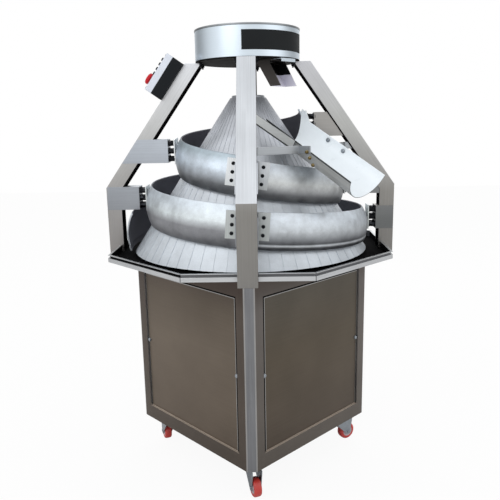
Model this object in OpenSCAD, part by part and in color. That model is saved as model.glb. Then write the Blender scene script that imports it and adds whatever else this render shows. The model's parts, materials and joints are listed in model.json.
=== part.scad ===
// Conical dough rounder on castors. A fluted cone turns on an upright shaft inside a rising
// spiral track. Four bent channel posts carry the track and a flour hopper above the cone, and
// a half-round chute lets the rounded dough out between the front and the right post.

/* [Cabinet] */
// Half of the cabinet's side, from the axis to a side face
cab_half = 300; // [280:1:310]
// Height of the cabinet from its underside to the deck
cab_h = 625; // [560:5:680]
// Width of the slanted corner faces
corner_face = 32; // [25:1:45]
// Width of the frame beside a panel opening
side_border = 58; // [48:1:64]
// Height of the frame above a panel opening
top_border = 58; // [46:1:70]
// Height of the frame below a panel opening
low_border = 50; // [40:1:60]
// Sheet thickness of the cabinet frame
frame_t = 2.5; // [2:0.5:4]
// Depth from a side face to the ledge behind a panel
ledge_d = 20; // [16:1:26]
// Width of the ledge behind a panel
ledge_w = 16; // [14:1:22]
// How far a panel lies behind the side face
panel_set = 6; // [4:0.5:9]
// Sheet thickness of a panel
panel_t = 1.5; // [1:0.5:3]
// Gap round a panel
panel_gap = 0.5; // [0.3:0.1:1]
// Shank radius of a panel screw
screw_r = 3; // [2:0.5:4]
// Thickness of the floor plate
floor_t = 4; // [3:0.5:6]
// Thickness of the deck plate
deck_t = 10; // [8:1:14]

/* [Castors] */
// Height of a castor from the floor to the cabinet's underside
castor_h = 118; // [112:1:126]
// Distance of the castors from the axis
castor_r = 330; // [320:1:340]
// Radius of a castor wheel
wheel_r = 32; // [28:0.5:36]
// Width of a castor wheel
wheel_w = 26; // [22:1:30]
// Distance from the swivel axis to the wheel's axle
castor_trail = 26; // [22:1:30]
// Radius of a wheel's axle
axle_r = 5; // [4:0.5:7]
// Side of a castor's top plate
castor_plate = 96; // [86:1:104]
// Radius of the swivel race
race_r = 34; // [30:1:36]
// Radius of the swivel pin
kingpin_r = 6; // [5:0.5:8]

/* [Posts] */
// Distance from the axis to the outer faces of the posts
post_reach = 500; // [496:1:515]
// Width of a post
post_w = 58; // [54:1:64]
// Depth of a post's channel
post_d = 50; // [44:1:54]
// Sheet thickness of a post
post_t = 3; // [2.5:0.5:5]
// Height of the upright stretch of a post
post_straight = 237; // [225:1:250]
// Distance from the axis to a post's outer face at its top
post_top_r = 210; // [200:1:225]

/* [Tray] */
// Distance from the axis to the outer edges of the eight-sided tray
tray_apothem = 466; // [460:1:476]
// Height of the tray's rim
tray_h = 24; // [20:1:30]
// Sheet thickness of the tray
tray_t = 2; // [1.5:0.5:3]
// Height of the folded face under the rim's groove
tray_face = 14; // [10:1:16]
// Depth of the rim's groove
tray_groove = 6; // [4:0.5:8]

/* [Cone] */
// Radius of the cone's foot
cone_base_r = 405; // [396:1:410]
// Radius of the cone's flat top
cone_top_r = 56; // [50:1:64]
// Height of the cone
cone_h = 520; // [505:1:530]
// Gap between the cone's foot and the tray's floor
cone_foot_gap = 10; // [6:1:14]
// Level thickness of the cone's wall
cone_wall = 8; // [6:0.5:12]
// Thickness of the cap on the cone
cap_t = 8; // [6:1:14]
// Number of grip flutes round the cone
flute_n = 60; // [40:4:72]
// Width of a flute
flute_w = 3; // [2:0.5:4]
// Depth of a flute
flute_d = 1.2; // [0.8:0.1:2]

/* [Track] */
// Height of the track's lower edge above the cone's foot, at the start
track_lift = 6; // [3:0.5:10]
// Rise of the track over its first half turn
track_first_rise = 21; // [16:1:26]
// Rise of the track over the next full turn
track_pitch = 123.5; // [119:0.5:129]
// Extra rise of the last turn
track_pitch_gain = 74; // [69:1:79]
// How far the track swings above and below its even rise
track_swing = 13; // [10:0.5:15]
// Angle before the left post where the track starts
track_lead = 14; // [10:1:16]
// How far the track's start flares outwards
track_flare = 6; // [3:0.5:9]
// Angle from the left post to the track's end
track_turn = 906; // [903:1:910]
// Height of the track's wall at the start
track_wall_h = 130; // [120:1:132]
// Height of the wall of the castings on the right-hand side
track_low_h = 112; // [107:1:116]
// Loss of wall height over the length of the track
track_wall_loss = 10; // [4:1:20]
// Thickness of the track's wall
track_t = 6; // [5:0.5:7]
// Level gap between the cone and the track's lower edge
track_gap = 6; // [4:0.5:7]
// Depth of the hollow of the track's wall
track_bow = 15.5; // [12:0.5:17]
// How far the track's upper edge leans in
track_lean = 7; // [4:0.5:10]

/* [Track supports] */
// Height of a support above the track's lower edge
support_lift = 73; // [72:0.5:76]
// Height of a support bracket
bracket_h = 80; // [74:1:88]
// Sheet thickness of a support bracket
bracket_t = 2.5; // [2:0.5:4]
// Distance from a bracket's cheeks to the post's outer face
bracket_inset = 2; // [1:0.5:20]
// Gap from the track to a bracket's end plate
bracket_gap = 27; // [24:1:32]
// Width of a saddle plate at the front post
saddle_w = 130; // [116:1:134]
// Width of a saddle plate at the other posts
saddle_side_w = 60; // [54:1:70]
// Thickness of a saddle plate
saddle_t = 4; // [3:0.5:5]
// Radius of an adjusting stud
stud_r = 5; // [4:0.5:6]
// Distance between the studs of a row
stud_gap = 32; // [26:1:36]
// Distance between the rows of studs
stud_row = 26; // [22:1:28]

/* [Outlet chute] */
// Direction of the chute seen from above
chute_dir = -45; // [-47:0.5:-43]
// Downward slope of the chute
chute_slope = 28.5; // [27.5:0.5:30]
// Height above the hopper's floor plane, turned down, where the chute's rim line meets the axis
chute_drop = 95; // [90:1:98]
// Width of the chute between its rims
chute_w = 158; // [150:1:164]
// Depth of the chute
chute_d = 60; // [56:0.5:61]
// Sheet thickness of the chute
chute_t = 2; // [1.5:0.5:3]
// Distance along the slope from the axis to the chute's mouth
chute_end = 569; // [555:1:580]
// Distance from the axis to the chute's inner edge
chute_inner_r = 188; // [186:1:194]
// Extra height of the chute's far rim
chute_far_rise = 9; // [6:1:12]
// Distance along the slope from the axis to the deflector's tip
deflector_from = 92; // [88:1:98]
// Length of the deflector along the chute's near wall
deflector_run = 120; // [90:1:140]
// How far the deflector's tip lies below the chute's rim line
deflector_dip = 9; // [6:0.5:12]
// Height of the deflector blade
deflector_h = 30; // [24:1:34]
// Height of the bars that hold the chute
arm_h = 23; // [18:1:28]
// Thickness of the bars that hold the chute
arm_t = 4; // [3:0.5:6]

/* [Flour hopper] */
// Radius of the hopper
hopper_r = 175; // [170:1:180]
// Height of the hopper with its lid
hopper_h = 103; // [98:1:112]
// Clear height between the cone's top and the hopper's floor
hopper_clear = 107; // [104:1:112]
// Thickness of the hopper's floor
hopper_floor_t = 4; // [3:0.5:6]
// How far the posts' tops reach under the hopper's floor
hopper_seat = 20; // [16:1:26]
// Sheet thickness of the hopper's wall
hopper_t = 2; // [1.5:0.5:3]
// Thickness of the lid
lid_t = 6; // [5:0.5:8]
// Height of the lid's knob
knob_h = 20; // [14:1:24]
// Radius of the stirrer's gear motor
stir_motor_r = 32; // [26:1:38]
// Height of the stirrer's gear motor
stir_motor_h = 54; // [46:1:58]
// Distance from the axis to the middle of the flour outlet
outlet_r = 118; // [112:1:122]
// Length of the flour outlet
outlet_l = 44; // [36:1:48]
// Width of the flour outlet
outlet_w = 56; // [48:1:60]
// Thickness of the outlet's slide
gate_t = 2.5; // [2:0.5:3]
// Width of the flour spout
spout_w = 75; // [72:1:80]
// Height of the flour spout
spout_h = 80; // [74:1:86]
// How far the flour spout leans outwards
spout_lean = 58; // [50:1:64]
// Distance from the flour outlet to the back of the spout
spout_back = 12; // [10:0.5:16]
// Length of the slide's runners beyond the flour outlet
spout_lip = 8; // [6:0.5:12]
// Depth of the flour spout's sides
spout_d = 46; // [40:1:50]
// Sheet thickness of the flour spout
spout_t = 2; // [1.5:0.5:3]

/* [Controls] */
// Length of the control box along the post
box_l = 140; // [132:1:150]
// Width of the control box
box_w = 100; // [86:1:110]
// Depth of the control box's base
box_d = 39; // [34:1:46]
// Depth of the control box's lid
box_lid_d = 23; // [18:1:28]
// Wall of the control box
box_wall = 3; // [2:0.5:4]
// Distance from the post's top to the control box
box_gap = 4; // [3:0.5:12]
// Radius of the stop button's head
stop_r = 20; // [17:0.5:22]
// Distance from the box's upper end to the stop button
stop_place = 105; // [103:1:110]
// Radius of a push button
button_r = 6; // [5:0.5:7]
// Distance between the push buttons
button_gap = 18; // [16.5:0.5:18.5]
// Distance from the box's upper end to the first push button
button_place = 26; // [20:1:27]

/* [Drive] */
// Radius of the main shaft
shaft_r = 25; // [20:0.5:28]
// Outer radius of a shaft bearing
bearing_r = 40; // [37:0.5:44]
// Height of a shaft bearing
bearing_h = 18; // [14:1:24]
// Height of the bearing column on the deck
column_h = 247; // [220:1:260]
// Wall of the bearing column round a bearing
column_wall = 15; // [10:1:20]
// Radius of the motor's body
motor_r = 62; // [54:1:66]
// Length of the motor's body
motor_l = 125; // [110:1:130]
// Radius of the motor's shaft
rotor_r = 9.5; // [8:0.5:12]
// Distance from the main shaft to the worm's axis
worm_off = 75; // [70:1:80]
// Radius of the cable gland's bore
gland_r = 6.5; // [5:0.5:8]

/* [Fits] */
// Radial running clearance of shafts, axles and pins
run_fit = 0.05; // [0.02:0.01:0.1]
// Clearance between parts that lie side by side
side_fit = 0.3; // [0.2:0.05:0.5]

/* [Hidden] */
$fn = 96;

// Heights of the main levels
cab_z = castor_h;
deck_z = cab_z + cab_h;
tray_z = deck_z + deck_t;
tray_floor_z = tray_z + tray_t;
cone_base_z = tray_floor_z + cone_foot_gap;
cone_top_z = cone_base_z + cone_h;
hopper_z = cone_top_z + hopper_clear;
hopper_top_z = hopper_z + hopper_h;
bend_z = deck_z + post_straight;

// Cabinet frame
corner_cut = corner_face / sqrt(2);
open_half = cab_half - side_border;
open_low = cab_z + low_border;
open_high = deck_z - top_border;
ledge_x = cab_half - ledge_d;
panel_x = cab_half - panel_set;
screw_y = open_half - ledge_w / 2;
screw_z = (open_low + open_high) / 2;

// Post slope
post_tilt = atan2(post_reach - post_top_r, hopper_z - bend_z);
slope_tan = (post_reach - post_top_r) / (hopper_z - bend_z);
function post_out(z) = z < bend_z ? post_reach : post_reach - (z - bend_z) * slope_tan;
post_in_shift = post_d / cos(post_tilt);
bend_in_z = bend_z - post_d * tan(post_tilt / 2);
function post_in(z) = z < bend_in_z ? post_reach - post_d : post_out(bend_z) - (z - bend_z) * slope_tan - post_in_shift;

// Cone and spiral
cone_tan = (cone_base_r - cone_top_r) / cone_h;
function cone_at(z) = cone_top_r + (cone_top_z - z) * cone_tan;
track_start_z = cone_base_z + track_lift;
swing_turn = 272;
function even_rise(t) = (track_pitch - track_pitch_gain / 2) * t + track_pitch_gain / 2 * t * t;
function track_z(a) = a < 180
  ? track_start_z + track_first_rise * a / 180
  : track_start_z + track_first_rise + even_rise((a - 180) / 360)
    + track_swing * (sin(a - swing_turn) - sin(180 - swing_turn));
function wall_h(a, low) = low ? track_low_h : track_wall_h - track_wall_loss * a / track_turn;
flare_turn = 60;
function flare(a) = a < flare_turn
  ? track_flare * pow((flare_turn - a) / (flare_turn + track_lead), 2)
  : 0;
function track_r(a) = cone_at(track_z(a)) + track_gap + track_t + flare(a);
function bulge_r(a) = track_r(a) + track_bow - track_lean / 2;
track_steps = 7;
function wall_point(a, s, t, low) = [
  track_r(a) - t - track_lean * s + track_bow * 4 * s * (1 - s),
  track_z(a) + wall_h(a, low) * s
];
function turn_point(p, a) = [p[0] * cos(180 - a), p[0] * sin(180 - a), p[1]];
function track_ring(a, low) = concat(
  [for (i = [0:track_steps]) turn_point(wall_point(a, i / track_steps, 0, low), a)],
  [for (i = [track_steps:-1:0]) turn_point(wall_point(a, i / track_steps, track_t, low), a)]
);
ring_n = 2 * (track_steps + 1);

// Supports, by their angle along the track
support_angles = [90, 180, 270, 360, 450, 540, 630, 720, 810, 900];
saddle_h = bracket_h + 4;
stud_hole = stud_r + side_fit;
stud_tip = 0.65 * saddle_t;
function support_z(a) = track_z(a) + support_lift;
function seat_r(a) = bulge_r(a) + side_fit;
function plate_r(a) = min(
  seat_r(a) + bracket_gap,
  min(post_in(support_z(a) - bracket_h / 2), post_in(support_z(a) + bracket_h / 2)) - side_fit - bracket_t
);
function climb(a) = atan((track_z(a + 1) - track_z(a - 1)) / 2 * 180 / PI / bulge_r(a));
function skew(a) = atan(cone_tan * tan(climb(a)));
function clasps(a) = a % 360 == 0 || a % 360 == 270 || a == 180;
function saddle_at(a) = a % 360 == 270 ? saddle_w : saddle_side_w;

// Chute
chute_z = hopper_z - chute_drop;
chute_mid = -4;
chute_arc = (chute_w * chute_w / 4 + chute_d * chute_d) / (2 * chute_d);
chute_up = chute_arc - chute_d;
near_n = chute_mid - sqrt(pow(chute_arc + chute_t, 2) - pow(chute_up, 2));
far_n = chute_mid + sqrt(pow(chute_arc + chute_t, 2) - pow(chute_up - chute_far_rise, 2));
deflector_t = 3;

// Hopper
hopper_floor_r = max(hopper_r, post_top_r - post_in_shift + hopper_seat);
gate_z = hopper_z - gate_t - 1;
guide_h = gate_t + 2;
guide_w = 8;
lid_z = hopper_top_z - lid_t;
stir_z = hopper_z + hopper_floor_t + stir_motor_h;
stir_shaft_r = 5;
stir_arm_h = 8;

// Controls
lid_out = box_d + box_lid_d;
stop_stem_r = 11;
stop_travel = 4;
button_travel = 2;
button_out = 4;

// Drive
column_z = tray_z;
column_top = column_z + column_h;
flange_r = bearing_r + column_wall + 40;
gear_top = deck_z;
gear_h = 130;
gear_flange_t = 10;
gear_z = gear_top - gear_flange_t - gear_h;
gear_half = 75;
worm_z = gear_z + 38;
motor_x = gear_half + 12;
fan_l = 46;
gland_z = cab_z + low_border / 2;
gland_out = 24;

// A post's or a castor's place round the axis: front, right, rear, left
module at_post(i) {
  rotate([0, 0, -90 + 90 * i]) children();
}

// A cabinet side's frame, +X outwards: front right, rear right, rear left, front left
module at_side(i) {
  rotate([0, 0, -45 + 90 * i]) children();
}

// Extrudes an outline drawn in X and Z along Y
module side_cut(w) {
  rotate([90, 0, 0]) linear_extrude(w, center = true) children();
}

// Folded corner upright with slanted face, returns and ledges, standing at the corner
module upright_outline() {
  f = cab_half;
  c = corner_cut;
  k = frame_t * tan(22.5);
  half = [
    [f - c, f],
    [open_half, f],
    [open_half, ledge_x],
    [open_half - ledge_w, ledge_x],
    [open_half - ledge_w, ledge_x - frame_t],
    [open_half + frame_t, ledge_x - frame_t],
    [open_half + frame_t, f - frame_t],
    [f - c - k, f - frame_t]
  ];
  n = len(half) - 1;
  polygon(concat(half, [for (i = [n:-1:0]) [half[i][1], half[i][0]]]));
}

module corner_uprights() {
  color("#8d9299")
    for (i = [0:3])
      at_side(i)
        translate([0, 0, cab_z])
          difference() {
            linear_extrude(cab_h) upright_outline();
            for (m = [0, 1])
              mirror([m, -m, 0]) {
                translate([ledge_x - frame_t - 1, screw_y, screw_z - cab_z])
                  rotate([0, 90, 0])
                    cylinder(r = screw_r + side_fit, h = frame_t + 2);
                for (z = [-1, cab_h - frame_t - side_fit])
                  translate([0, 0, z])
                    cube([cab_half + 1, open_half, frame_t + side_fit + 1]);
              }
          }
}

// Channel rails above and below each panel opening
module rail_top() {
  side_cut(2 * open_half)
    polygon([
      [cab_half, open_high], [cab_half, deck_z],
      [ledge_x - frame_t, deck_z], [ledge_x - frame_t, deck_z - frame_t],
      [cab_half - frame_t, deck_z - frame_t], [cab_half - frame_t, open_high + frame_t],
      [ledge_x, open_high + frame_t], [ledge_x, open_high]
    ]);
}

module rail_low() {
  side_cut(2 * open_half)
    polygon([
      [cab_half, open_low], [cab_half, cab_z],
      [ledge_x - 2 * ledge_w, cab_z], [ledge_x - 2 * ledge_w, cab_z + frame_t],
      [cab_half - frame_t, cab_z + frame_t], [cab_half - frame_t, open_low - frame_t],
      [ledge_x, open_low - frame_t], [ledge_x, open_low]
    ]);
}

module frame_rails() {
  color("#6f6a62")
    for (i = [0:3])
      at_side(i) {
        rail_top();
        difference() {
          rail_low();
          if (i == 2)
            translate([cab_half - frame_t - 1, 0, gland_z])
              rotate([0, 90, 0])
                cylinder(r = gland_r + 3.5 + side_fit, h = frame_t + 2);
        }
      }
}

module floor_plate() {
  edge = ledge_x - frame_t - 1;
  color("#85898d")
    translate([0, 0, cab_z + frame_t])
      at_side(0)
        linear_extrude(floor_t)
          difference() {
            square(2 * edge, center = true);
            for (i = [0:3])
              rotate(90 * i)
                translate([open_half - ledge_w - 1, open_half - ledge_w - 1])
                  square(cab_half);
          }
}

// Bearing deck with four ears that reach into the posts
module deck_plate() {
  ear_w = post_w - 2 * post_t - 2 * side_fit;
  color("#7d8186")
    translate([0, 0, deck_z])
      difference() {
        linear_extrude(deck_t)
          union() {
            at_side(0)
              difference() {
                square(2 * cab_half, center = true);
                for (i = [0:3])
                  rotate(90 * i)
                    translate([cab_half, cab_half])
                      rotate(45)
                        square([corner_face, 2 * corner_face], center = true);
              }
            for (i = [0:1])
              rotate(90 * i)
                square([2 * (post_reach - post_t), ear_w], center = true);
          }
        translate([0, 0, -1]) cylinder(r = shaft_r + 6, h = deck_t + 2);
      }
}

function octagon_r(apothem) = apothem / cos(22.5);

module octagon(apothem) {
  rotate(22.5) circle(r = octagon_r(apothem), $fn = 8);
}

// Room for a post's channel walls where they straddle the tray's rim
module post_slots() {
  slot = post_t + 2 * side_fit;
  for (i = [0:3])
    rotate(90 * i)
      for (m = [-1, 1])
        translate([post_reach - post_d - 1, m * (post_w - post_t) / 2 - slot / 2])
          square([post_d + 2, slot]);
}

module catch_tray() {
  wall_a = tray_apothem - tray_groove;
  lip_t = tray_t;
  color("#a9adb0")
    difference() {
      union() {
        translate([0, 0, tray_z])
          linear_extrude(tray_t) octagon(tray_apothem);
        translate([0, 0, tray_z])
          linear_extrude(tray_face)
            difference() {
              octagon(tray_apothem);
              octagon(wall_a - tray_t);
            }
        translate([0, 0, tray_z])
          linear_extrude(tray_h)
            difference() {
              octagon(wall_a);
              octagon(wall_a - tray_t);
            }
        translate([0, 0, tray_z + tray_h - lip_t])
          linear_extrude(lip_t)
            difference() {
              octagon(tray_apothem);
              octagon(wall_a - tray_t);
            }
      }
      translate([0, 0, tray_z - 1])
        linear_extrude(tray_h + 2) post_slots();
      translate([0, 0, tray_z - 1])
        cylinder(r = flange_r + 1, h = tray_t + 2);
    }
}

// Removable panel with folded edges
module side_panel(i) {
  w = open_half - panel_gap;
  z0 = open_low + panel_gap;
  z1 = open_high - panel_gap;
  color("#6a645b")
    at_side(i)
      difference() {
        translate([ledge_x, -w, z0])
          cube([panel_x - ledge_x, 2 * w, z1 - z0]);
        translate([ledge_x - 1, -w + panel_t, z0 + panel_t])
          cube([panel_x - ledge_x - panel_t + 1, 2 * (w - panel_t), z1 - z0 - 2 * panel_t]);
        for (m = [-1, 1])
          translate([ledge_x, m * screw_y, screw_z])
            rotate([0, 90, 0])
              cylinder(r = screw_r + side_fit, h = ledge_d);
      }
}

module panel_screws() {
  color("#c9ccd0")
    for (i = [0:3])
      at_side(i)
        for (m = [-1, 1])
          translate([0, m * screw_y, screw_z])
            rotate([0, 90, 0]) {
              translate([0, 0, ledge_x - frame_t - 2])
                cylinder(r = screw_r, h = panel_x - ledge_x + frame_t + 2);
              translate([0, 0, panel_x])
                cylinder(r = 1.9 * screw_r, h = screw_r);
            }
}

// Castor top plate with its swivel race
module castor_plates() {
  t = 4;
  race_h = 14;
  color("#b9bcc0")
    for (i = [0:3])
      at_post(i)
        translate([castor_r, 0, 0])
          difference() {
            union() {
              translate([0, 0, castor_h - t / 2])
                rotate([0, 0, 45])
                  cube([castor_plate, castor_plate, t], center = true);
              translate([0, 0, castor_h - t - race_h])
                cylinder(r1 = race_r, r2 = 1.3 * race_r, h = race_h);
            }
            translate([0, 0, castor_h - t - race_h - 1])
              cylinder(r = kingpin_r + run_fit, h = t + race_h + 2);
          }
}

// Headings of the four castors, front, right, rear, left
castor_yaw = [-70, 32, 120, 112];

module at_castor(i) {
  rotate([0, 0, -90 + 90 * i])
    translate([castor_r, 0, 0])
      rotate([0, 0, 90 - 90 * i + castor_yaw[i]])
        children();
}

module castor_fork(i) {
  top = castor_h - 18 - side_fit;
  cheek = 2.5;
  inner = wheel_w / 2 + 2;
  crown = race_r - 2;
  shoulder = castor_plate / 2 - 3;
  color("#b4b8bc")
    at_castor(i) {
      union() {
        translate([0, 0, top - 4]) cylinder(r = race_r, h = 4);
        translate([0, 0, top - 1]) cylinder(r = kingpin_r, h = castor_h - top - 1);
        translate([-crown, -inner - cheek, top - 7])
          cube([2 * crown, 2 * (inner + cheek), 4]);
        for (m = [-1, 1])
          translate([0, m * (inner + cheek / 2), 0])
            side_cut(cheek)
              polygon([
                [-shoulder, top - 12], [-shoulder, top - 4], [shoulder, top - 4], [shoulder, top - 12],
                [castor_trail + 2 * axle_r, wheel_r + 1.4 * axle_r],
                [castor_trail + 2 * axle_r, wheel_r - 1.4 * axle_r],
                [castor_trail + axle_r, wheel_r - 2.2 * axle_r],
                [castor_trail - axle_r, wheel_r - 2.2 * axle_r],
                [castor_trail - 2.2 * axle_r, wheel_r - axle_r]
              ]);
        translate([castor_trail, 0, wheel_r])
          rotate([90, 0, 0])
            cylinder(r = axle_r, h = 2 * (inner + cheek) + 4, center = true);
      }
    }
}

module castor_wheel(i) {
  hub_r = 0.62 * wheel_r;
  round_r = 4;
  at_castor(i)
    translate([castor_trail, 0, wheel_r])
      rotate([90, 0, 0]) {
        color("#b3262b")
          rotate_extrude()
            polygon([
              [hub_r + run_fit, -wheel_w / 2], [wheel_r - round_r, -wheel_w / 2],
              [wheel_r, -wheel_w / 2 + round_r], [wheel_r, wheel_w / 2 - round_r],
              [wheel_r - round_r, wheel_w / 2], [hub_r + run_fit, wheel_w / 2]
            ]);
        color("#d8d2cf")
          rotate_extrude()
            polygon([
              [axle_r + run_fit, -wheel_w / 2 - 1.5], [2 * axle_r, -wheel_w / 2 - 1.5],
              [2 * axle_r, -wheel_w / 2 + 5], [hub_r, -wheel_w / 2 + 3],
              [hub_r, wheel_w / 2 - 3], [2 * axle_r, wheel_w / 2 - 5],
              [2 * axle_r, wheel_w / 2 + 1.5], [axle_r + run_fit, wheel_w / 2 + 1.5]
            ]);
      }
}

// Side outline of a post, from its outer face inwards by a depth
module post_outline(from, to) {
  shift_a = from / cos(post_tilt);
  shift_b = to / cos(post_tilt);
  polygon([
    [post_reach - from, deck_z],
    [post_reach - from, bend_z - from * tan(post_tilt / 2)],
    [post_top_r - shift_a, hopper_z],
    [post_top_r - shift_b, hopper_z],
    [post_reach - to, bend_z - to * tan(post_tilt / 2)],
    [post_reach - to, deck_z]
  ]);
}

// Bent channel post, open towards the cone, closed by a plate under the hopper
module post(i) {
  cap = 5;
  color("#c4c7c6")
    at_post(i)
      union() {
        difference() {
          side_cut(post_w) post_outline(0, post_d);
          side_cut(post_w - 2 * post_t) post_outline(post_t, 2 * post_d);
        }
        intersection() {
          side_cut(post_w - post_t) post_outline(post_t / 2, post_d);
          translate([0, -post_w / 2, hopper_z - cap])
            cube([post_reach, post_w, cap]);
        }
      }
}

// Folded bracket that holds one support's studs. It clasps the front and left posts and the foot
// of the right one, and stands inside the channel elsewhere
module track_bracket(a) {
  zc = support_z(a);
  z0 = zc - bracket_h / 2;
  z1 = zc + bracket_h / 2;
  r0 = plate_r(a);
  full_w = clasps(a) ? post_w + 2 * bracket_t + 2 * side_fit : post_w - 2 * post_t - 2 * side_fit;
  inset = clasps(a) ? bracket_inset : bracket_inset + post_t / cos(post_tilt);
  difference() {
    side_cut(full_w)
      polygon([
        [r0, z0], [r0, z1],
        [post_out(z1) - inset, z1], [post_out(zc) - inset, zc], [post_out(z0) - inset, z0]
      ]);
    translate([r0 + bracket_t, -full_w / 2 + bracket_t, z0 + bracket_t])
      cube([post_reach, full_w - 2 * bracket_t, bracket_h - 2 * bracket_t]);
    if (clasps(a))
      side_cut(post_w + 2 * side_fit) post_outline(-1, post_d + side_fit);
    support_holes(a);
  }
}

// Cylinders along the six studs of a support
module support_holes(a, r = stud_hole) {
  reach = plate_r(a) + bracket_t + 9 - seat_r(a) - stud_tip;
  for (m = [-1, 1])
    for (k = [-1, 0, 1])
      translate([seat_r(a) + stud_tip, m * stud_gap / 2, support_z(a) + k * stud_row])
        rotate([0, 90, 0])
          cylinder(r = r, h = reach, $fn = 24);
}

module at_support(a) {
  rotate([0, 0, 180 - a]) children();
}

module brackets(i) {
  color("#a79c94")
    for (a = support_angles)
      if ((a + 90 * i + 90) % 360 == 0)
        at_support(a) track_bracket(a);
}

// Plates that lie against the outside of the track at each support
module track_saddles() {
  color("#dadddd")
    for (a = support_angles)
      at_support(a)
        difference() {
          translate([seat_r(a), 0, support_z(a)])
            rotate([-climb(a), 0, -skew(a)])
              translate([0, -saddle_at(a) / 2, -saddle_h / 2])
                cube([saddle_t, saddle_at(a), saddle_h]);
          translate([-saddle_t - stud_tip, 0, 0]) support_holes(a);
        }
}

module track_studs() {
  color("#3f4144")
    for (a = support_angles)
      at_support(a) support_holes(a, stud_r);
}

// One casting of the spiral track, swept round the cone with a hollow wall
module track_segment(from, to, low = false) {
  n = ceil((to - from) / 5);
  rings = [for (k = [0:n]) track_ring(from + (to - from) * k / n, low)];
  points = [for (r = rings) for (p = r) p];
  sides = [
    for (k = [0:n - 1])
      for (j = [0:ring_n - 1])
        let (a = k * ring_n + j, b = k * ring_n + (j + 1) % ring_n)
          each [[a, a + ring_n, b], [b, a + ring_n, b + ring_n]]
  ];
  cap_a = [
    for (j = [0:track_steps - 1])
      let (p = j, q = j + 1, r = ring_n - 1 - j, s = ring_n - 2 - j)
        each [[p, q, r], [q, s, r]]
  ];
  cap_b = [for (f = cap_a) [f[0] + n * ring_n, f[2] + n * ring_n, f[1] + n * ring_n]];
  color("#c3c6c8")
    polyhedron(points, concat(sides, cap_a, cap_b), convexity = 10);
}

// The chute's own frame: X down the slope, Y across it, Z up from the rim line
module chute_frame() {
  translate([0, 0, chute_z])
    rotate([0, 0, chute_dir])
      rotate([0, chute_slope, 0])
        children();
}

module outlet_chute() {
  horn = [chute_inner_r / cos(chute_slope) - 30, chute_inner_r / cos(chute_slope) + 32];
  color("#eef4f8")
    difference() {
      chute_frame()
        intersection() {
          translate([0, chute_mid, chute_up])
            rotate([0, 90, 0])
              difference() {
                cylinder(r = chute_arc + chute_t, h = chute_end);
                translate([0, 0, -1]) cylinder(r = chute_arc, h = chute_end + 2);
              }
          union() {
            translate([0, chute_mid - 2 * chute_w, -2 * chute_arc])
              cube([chute_end, 2 * chute_w, 2 * chute_arc]);
            translate([0, chute_mid - 1, -2 * chute_arc])
              cube([chute_end, 2 * chute_w, 2 * chute_arc + chute_far_rise]);
            translate([0, chute_mid + 1, 0])
              rotate([90, 0, 180])
                linear_extrude(2 * chute_w)
                  polygon([[-horn[0], 0], [-horn[0], 30], [-horn[0] - 20, 30], [-horn[1], 0]]);
          }
        }
      translate([0, 0, deck_z]) cylinder(r = chute_inner_r, h = hopper_z - deck_z);
    }
}

// Blade that carries the chute's near wall on to the cone
module chute_deflector() {
  s0 = deflector_from;
  s1 = chute_inner_r / cos(chute_slope) + deflector_run;
  dip = deflector_dip;
  color("#b9bdc2")
    chute_frame()
      translate([0, near_n - side_fit, 0])
        rotate([90, 0, 0])
          linear_extrude(deflector_t)
            polygon([[s0, -dip], [s1, 0], [s1, -deflector_h], [s0, -dip - deflector_h]]);
}

// A flat upright bar along a path seen from above
module bar_path(p, t) {
  for (i = [0:len(p) - 2])
    let (d = p[i + 1] - p[i], l = norm(d))
      translate(p[i])
        rotate(atan2(d[1], d[0]))
          translate([0, -t / 2]) square([l, t]);
  for (i = [1:len(p) - 2])
    translate(p[i]) circle(d = t, $fn = 24);
}

function chute_plan(u, n) = [
  u * cos(chute_dir) - n * sin(chute_dir),
  u * sin(chute_dir) + n * cos(chute_dir)
];
function rim_z(u) = chute_z - u * tan(chute_slope);

// Bars from the front and the right post to the chute's rims
module chute_supports() {
  u_near = [chute_end * 0.54, chute_end * 0.62];
  u_far = [chute_end * 0.52, chute_end * 0.60];
  z_near = rim_z(u_near[1]) + 7;
  z_far = rim_z(u_far[1]) + 2;
  y_front = -(post_in(z_near) + post_d / 2);
  x_side = post_w / 2 + side_fit + arm_t / 2;
  x_right = post_in(z_far) + post_d / 2;
  y_inside = post_w / 2 - post_t - side_fit - arm_t / 2;
  x_mouth = post_in(z_far + arm_h / 2) - 2 * arm_t;
  n_near = near_n - side_fit - arm_t / 2;
  n_far = far_n + side_fit + arm_t / 2;
  color("#cfd2d6") {
    translate([0, 0, z_near - arm_h / 2])
      linear_extrude(arm_h)
        bar_path([
          [x_side, y_front - 14], [x_side, y_front + 14],
          chute_plan(u_near[0], n_near), chute_plan(u_near[1], n_near)
        ], arm_t);
    translate([0, 0, z_far - arm_h / 2])
      linear_extrude(arm_h)
        bar_path([
          [x_right + 14, -y_inside], [x_mouth, -y_inside],
          chute_plan(u_far[0], n_far), chute_plan(u_far[1], n_far)
        ], arm_t);
  }
}

// Frame of the flour outlet, +X outwards over the chute
module outlet_frame() {
  rotate([0, 0, chute_dir]) children();
}

module hopper_base() {
  color("#3a3c40")
    translate([0, 0, hopper_z])
      difference() {
        cylinder(r = hopper_floor_r, h = hopper_floor_t, $fn = 160);
        outlet_frame()
          translate([outlet_r - outlet_l / 2, -outlet_w / 2, -1])
            cube([outlet_l, outlet_w, hopper_floor_t + 2]);
      }
}

module hopper_shell() {
  z0 = hopper_z + hopper_floor_t;
  color("#dbe6ee")
    rotate_extrude($fn = 160)
      polygon([
        [hopper_r - hopper_t, z0], [hopper_r, z0],
        [hopper_r, lid_z], [hopper_r - hopper_t, lid_z]
      ]);
}

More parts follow.
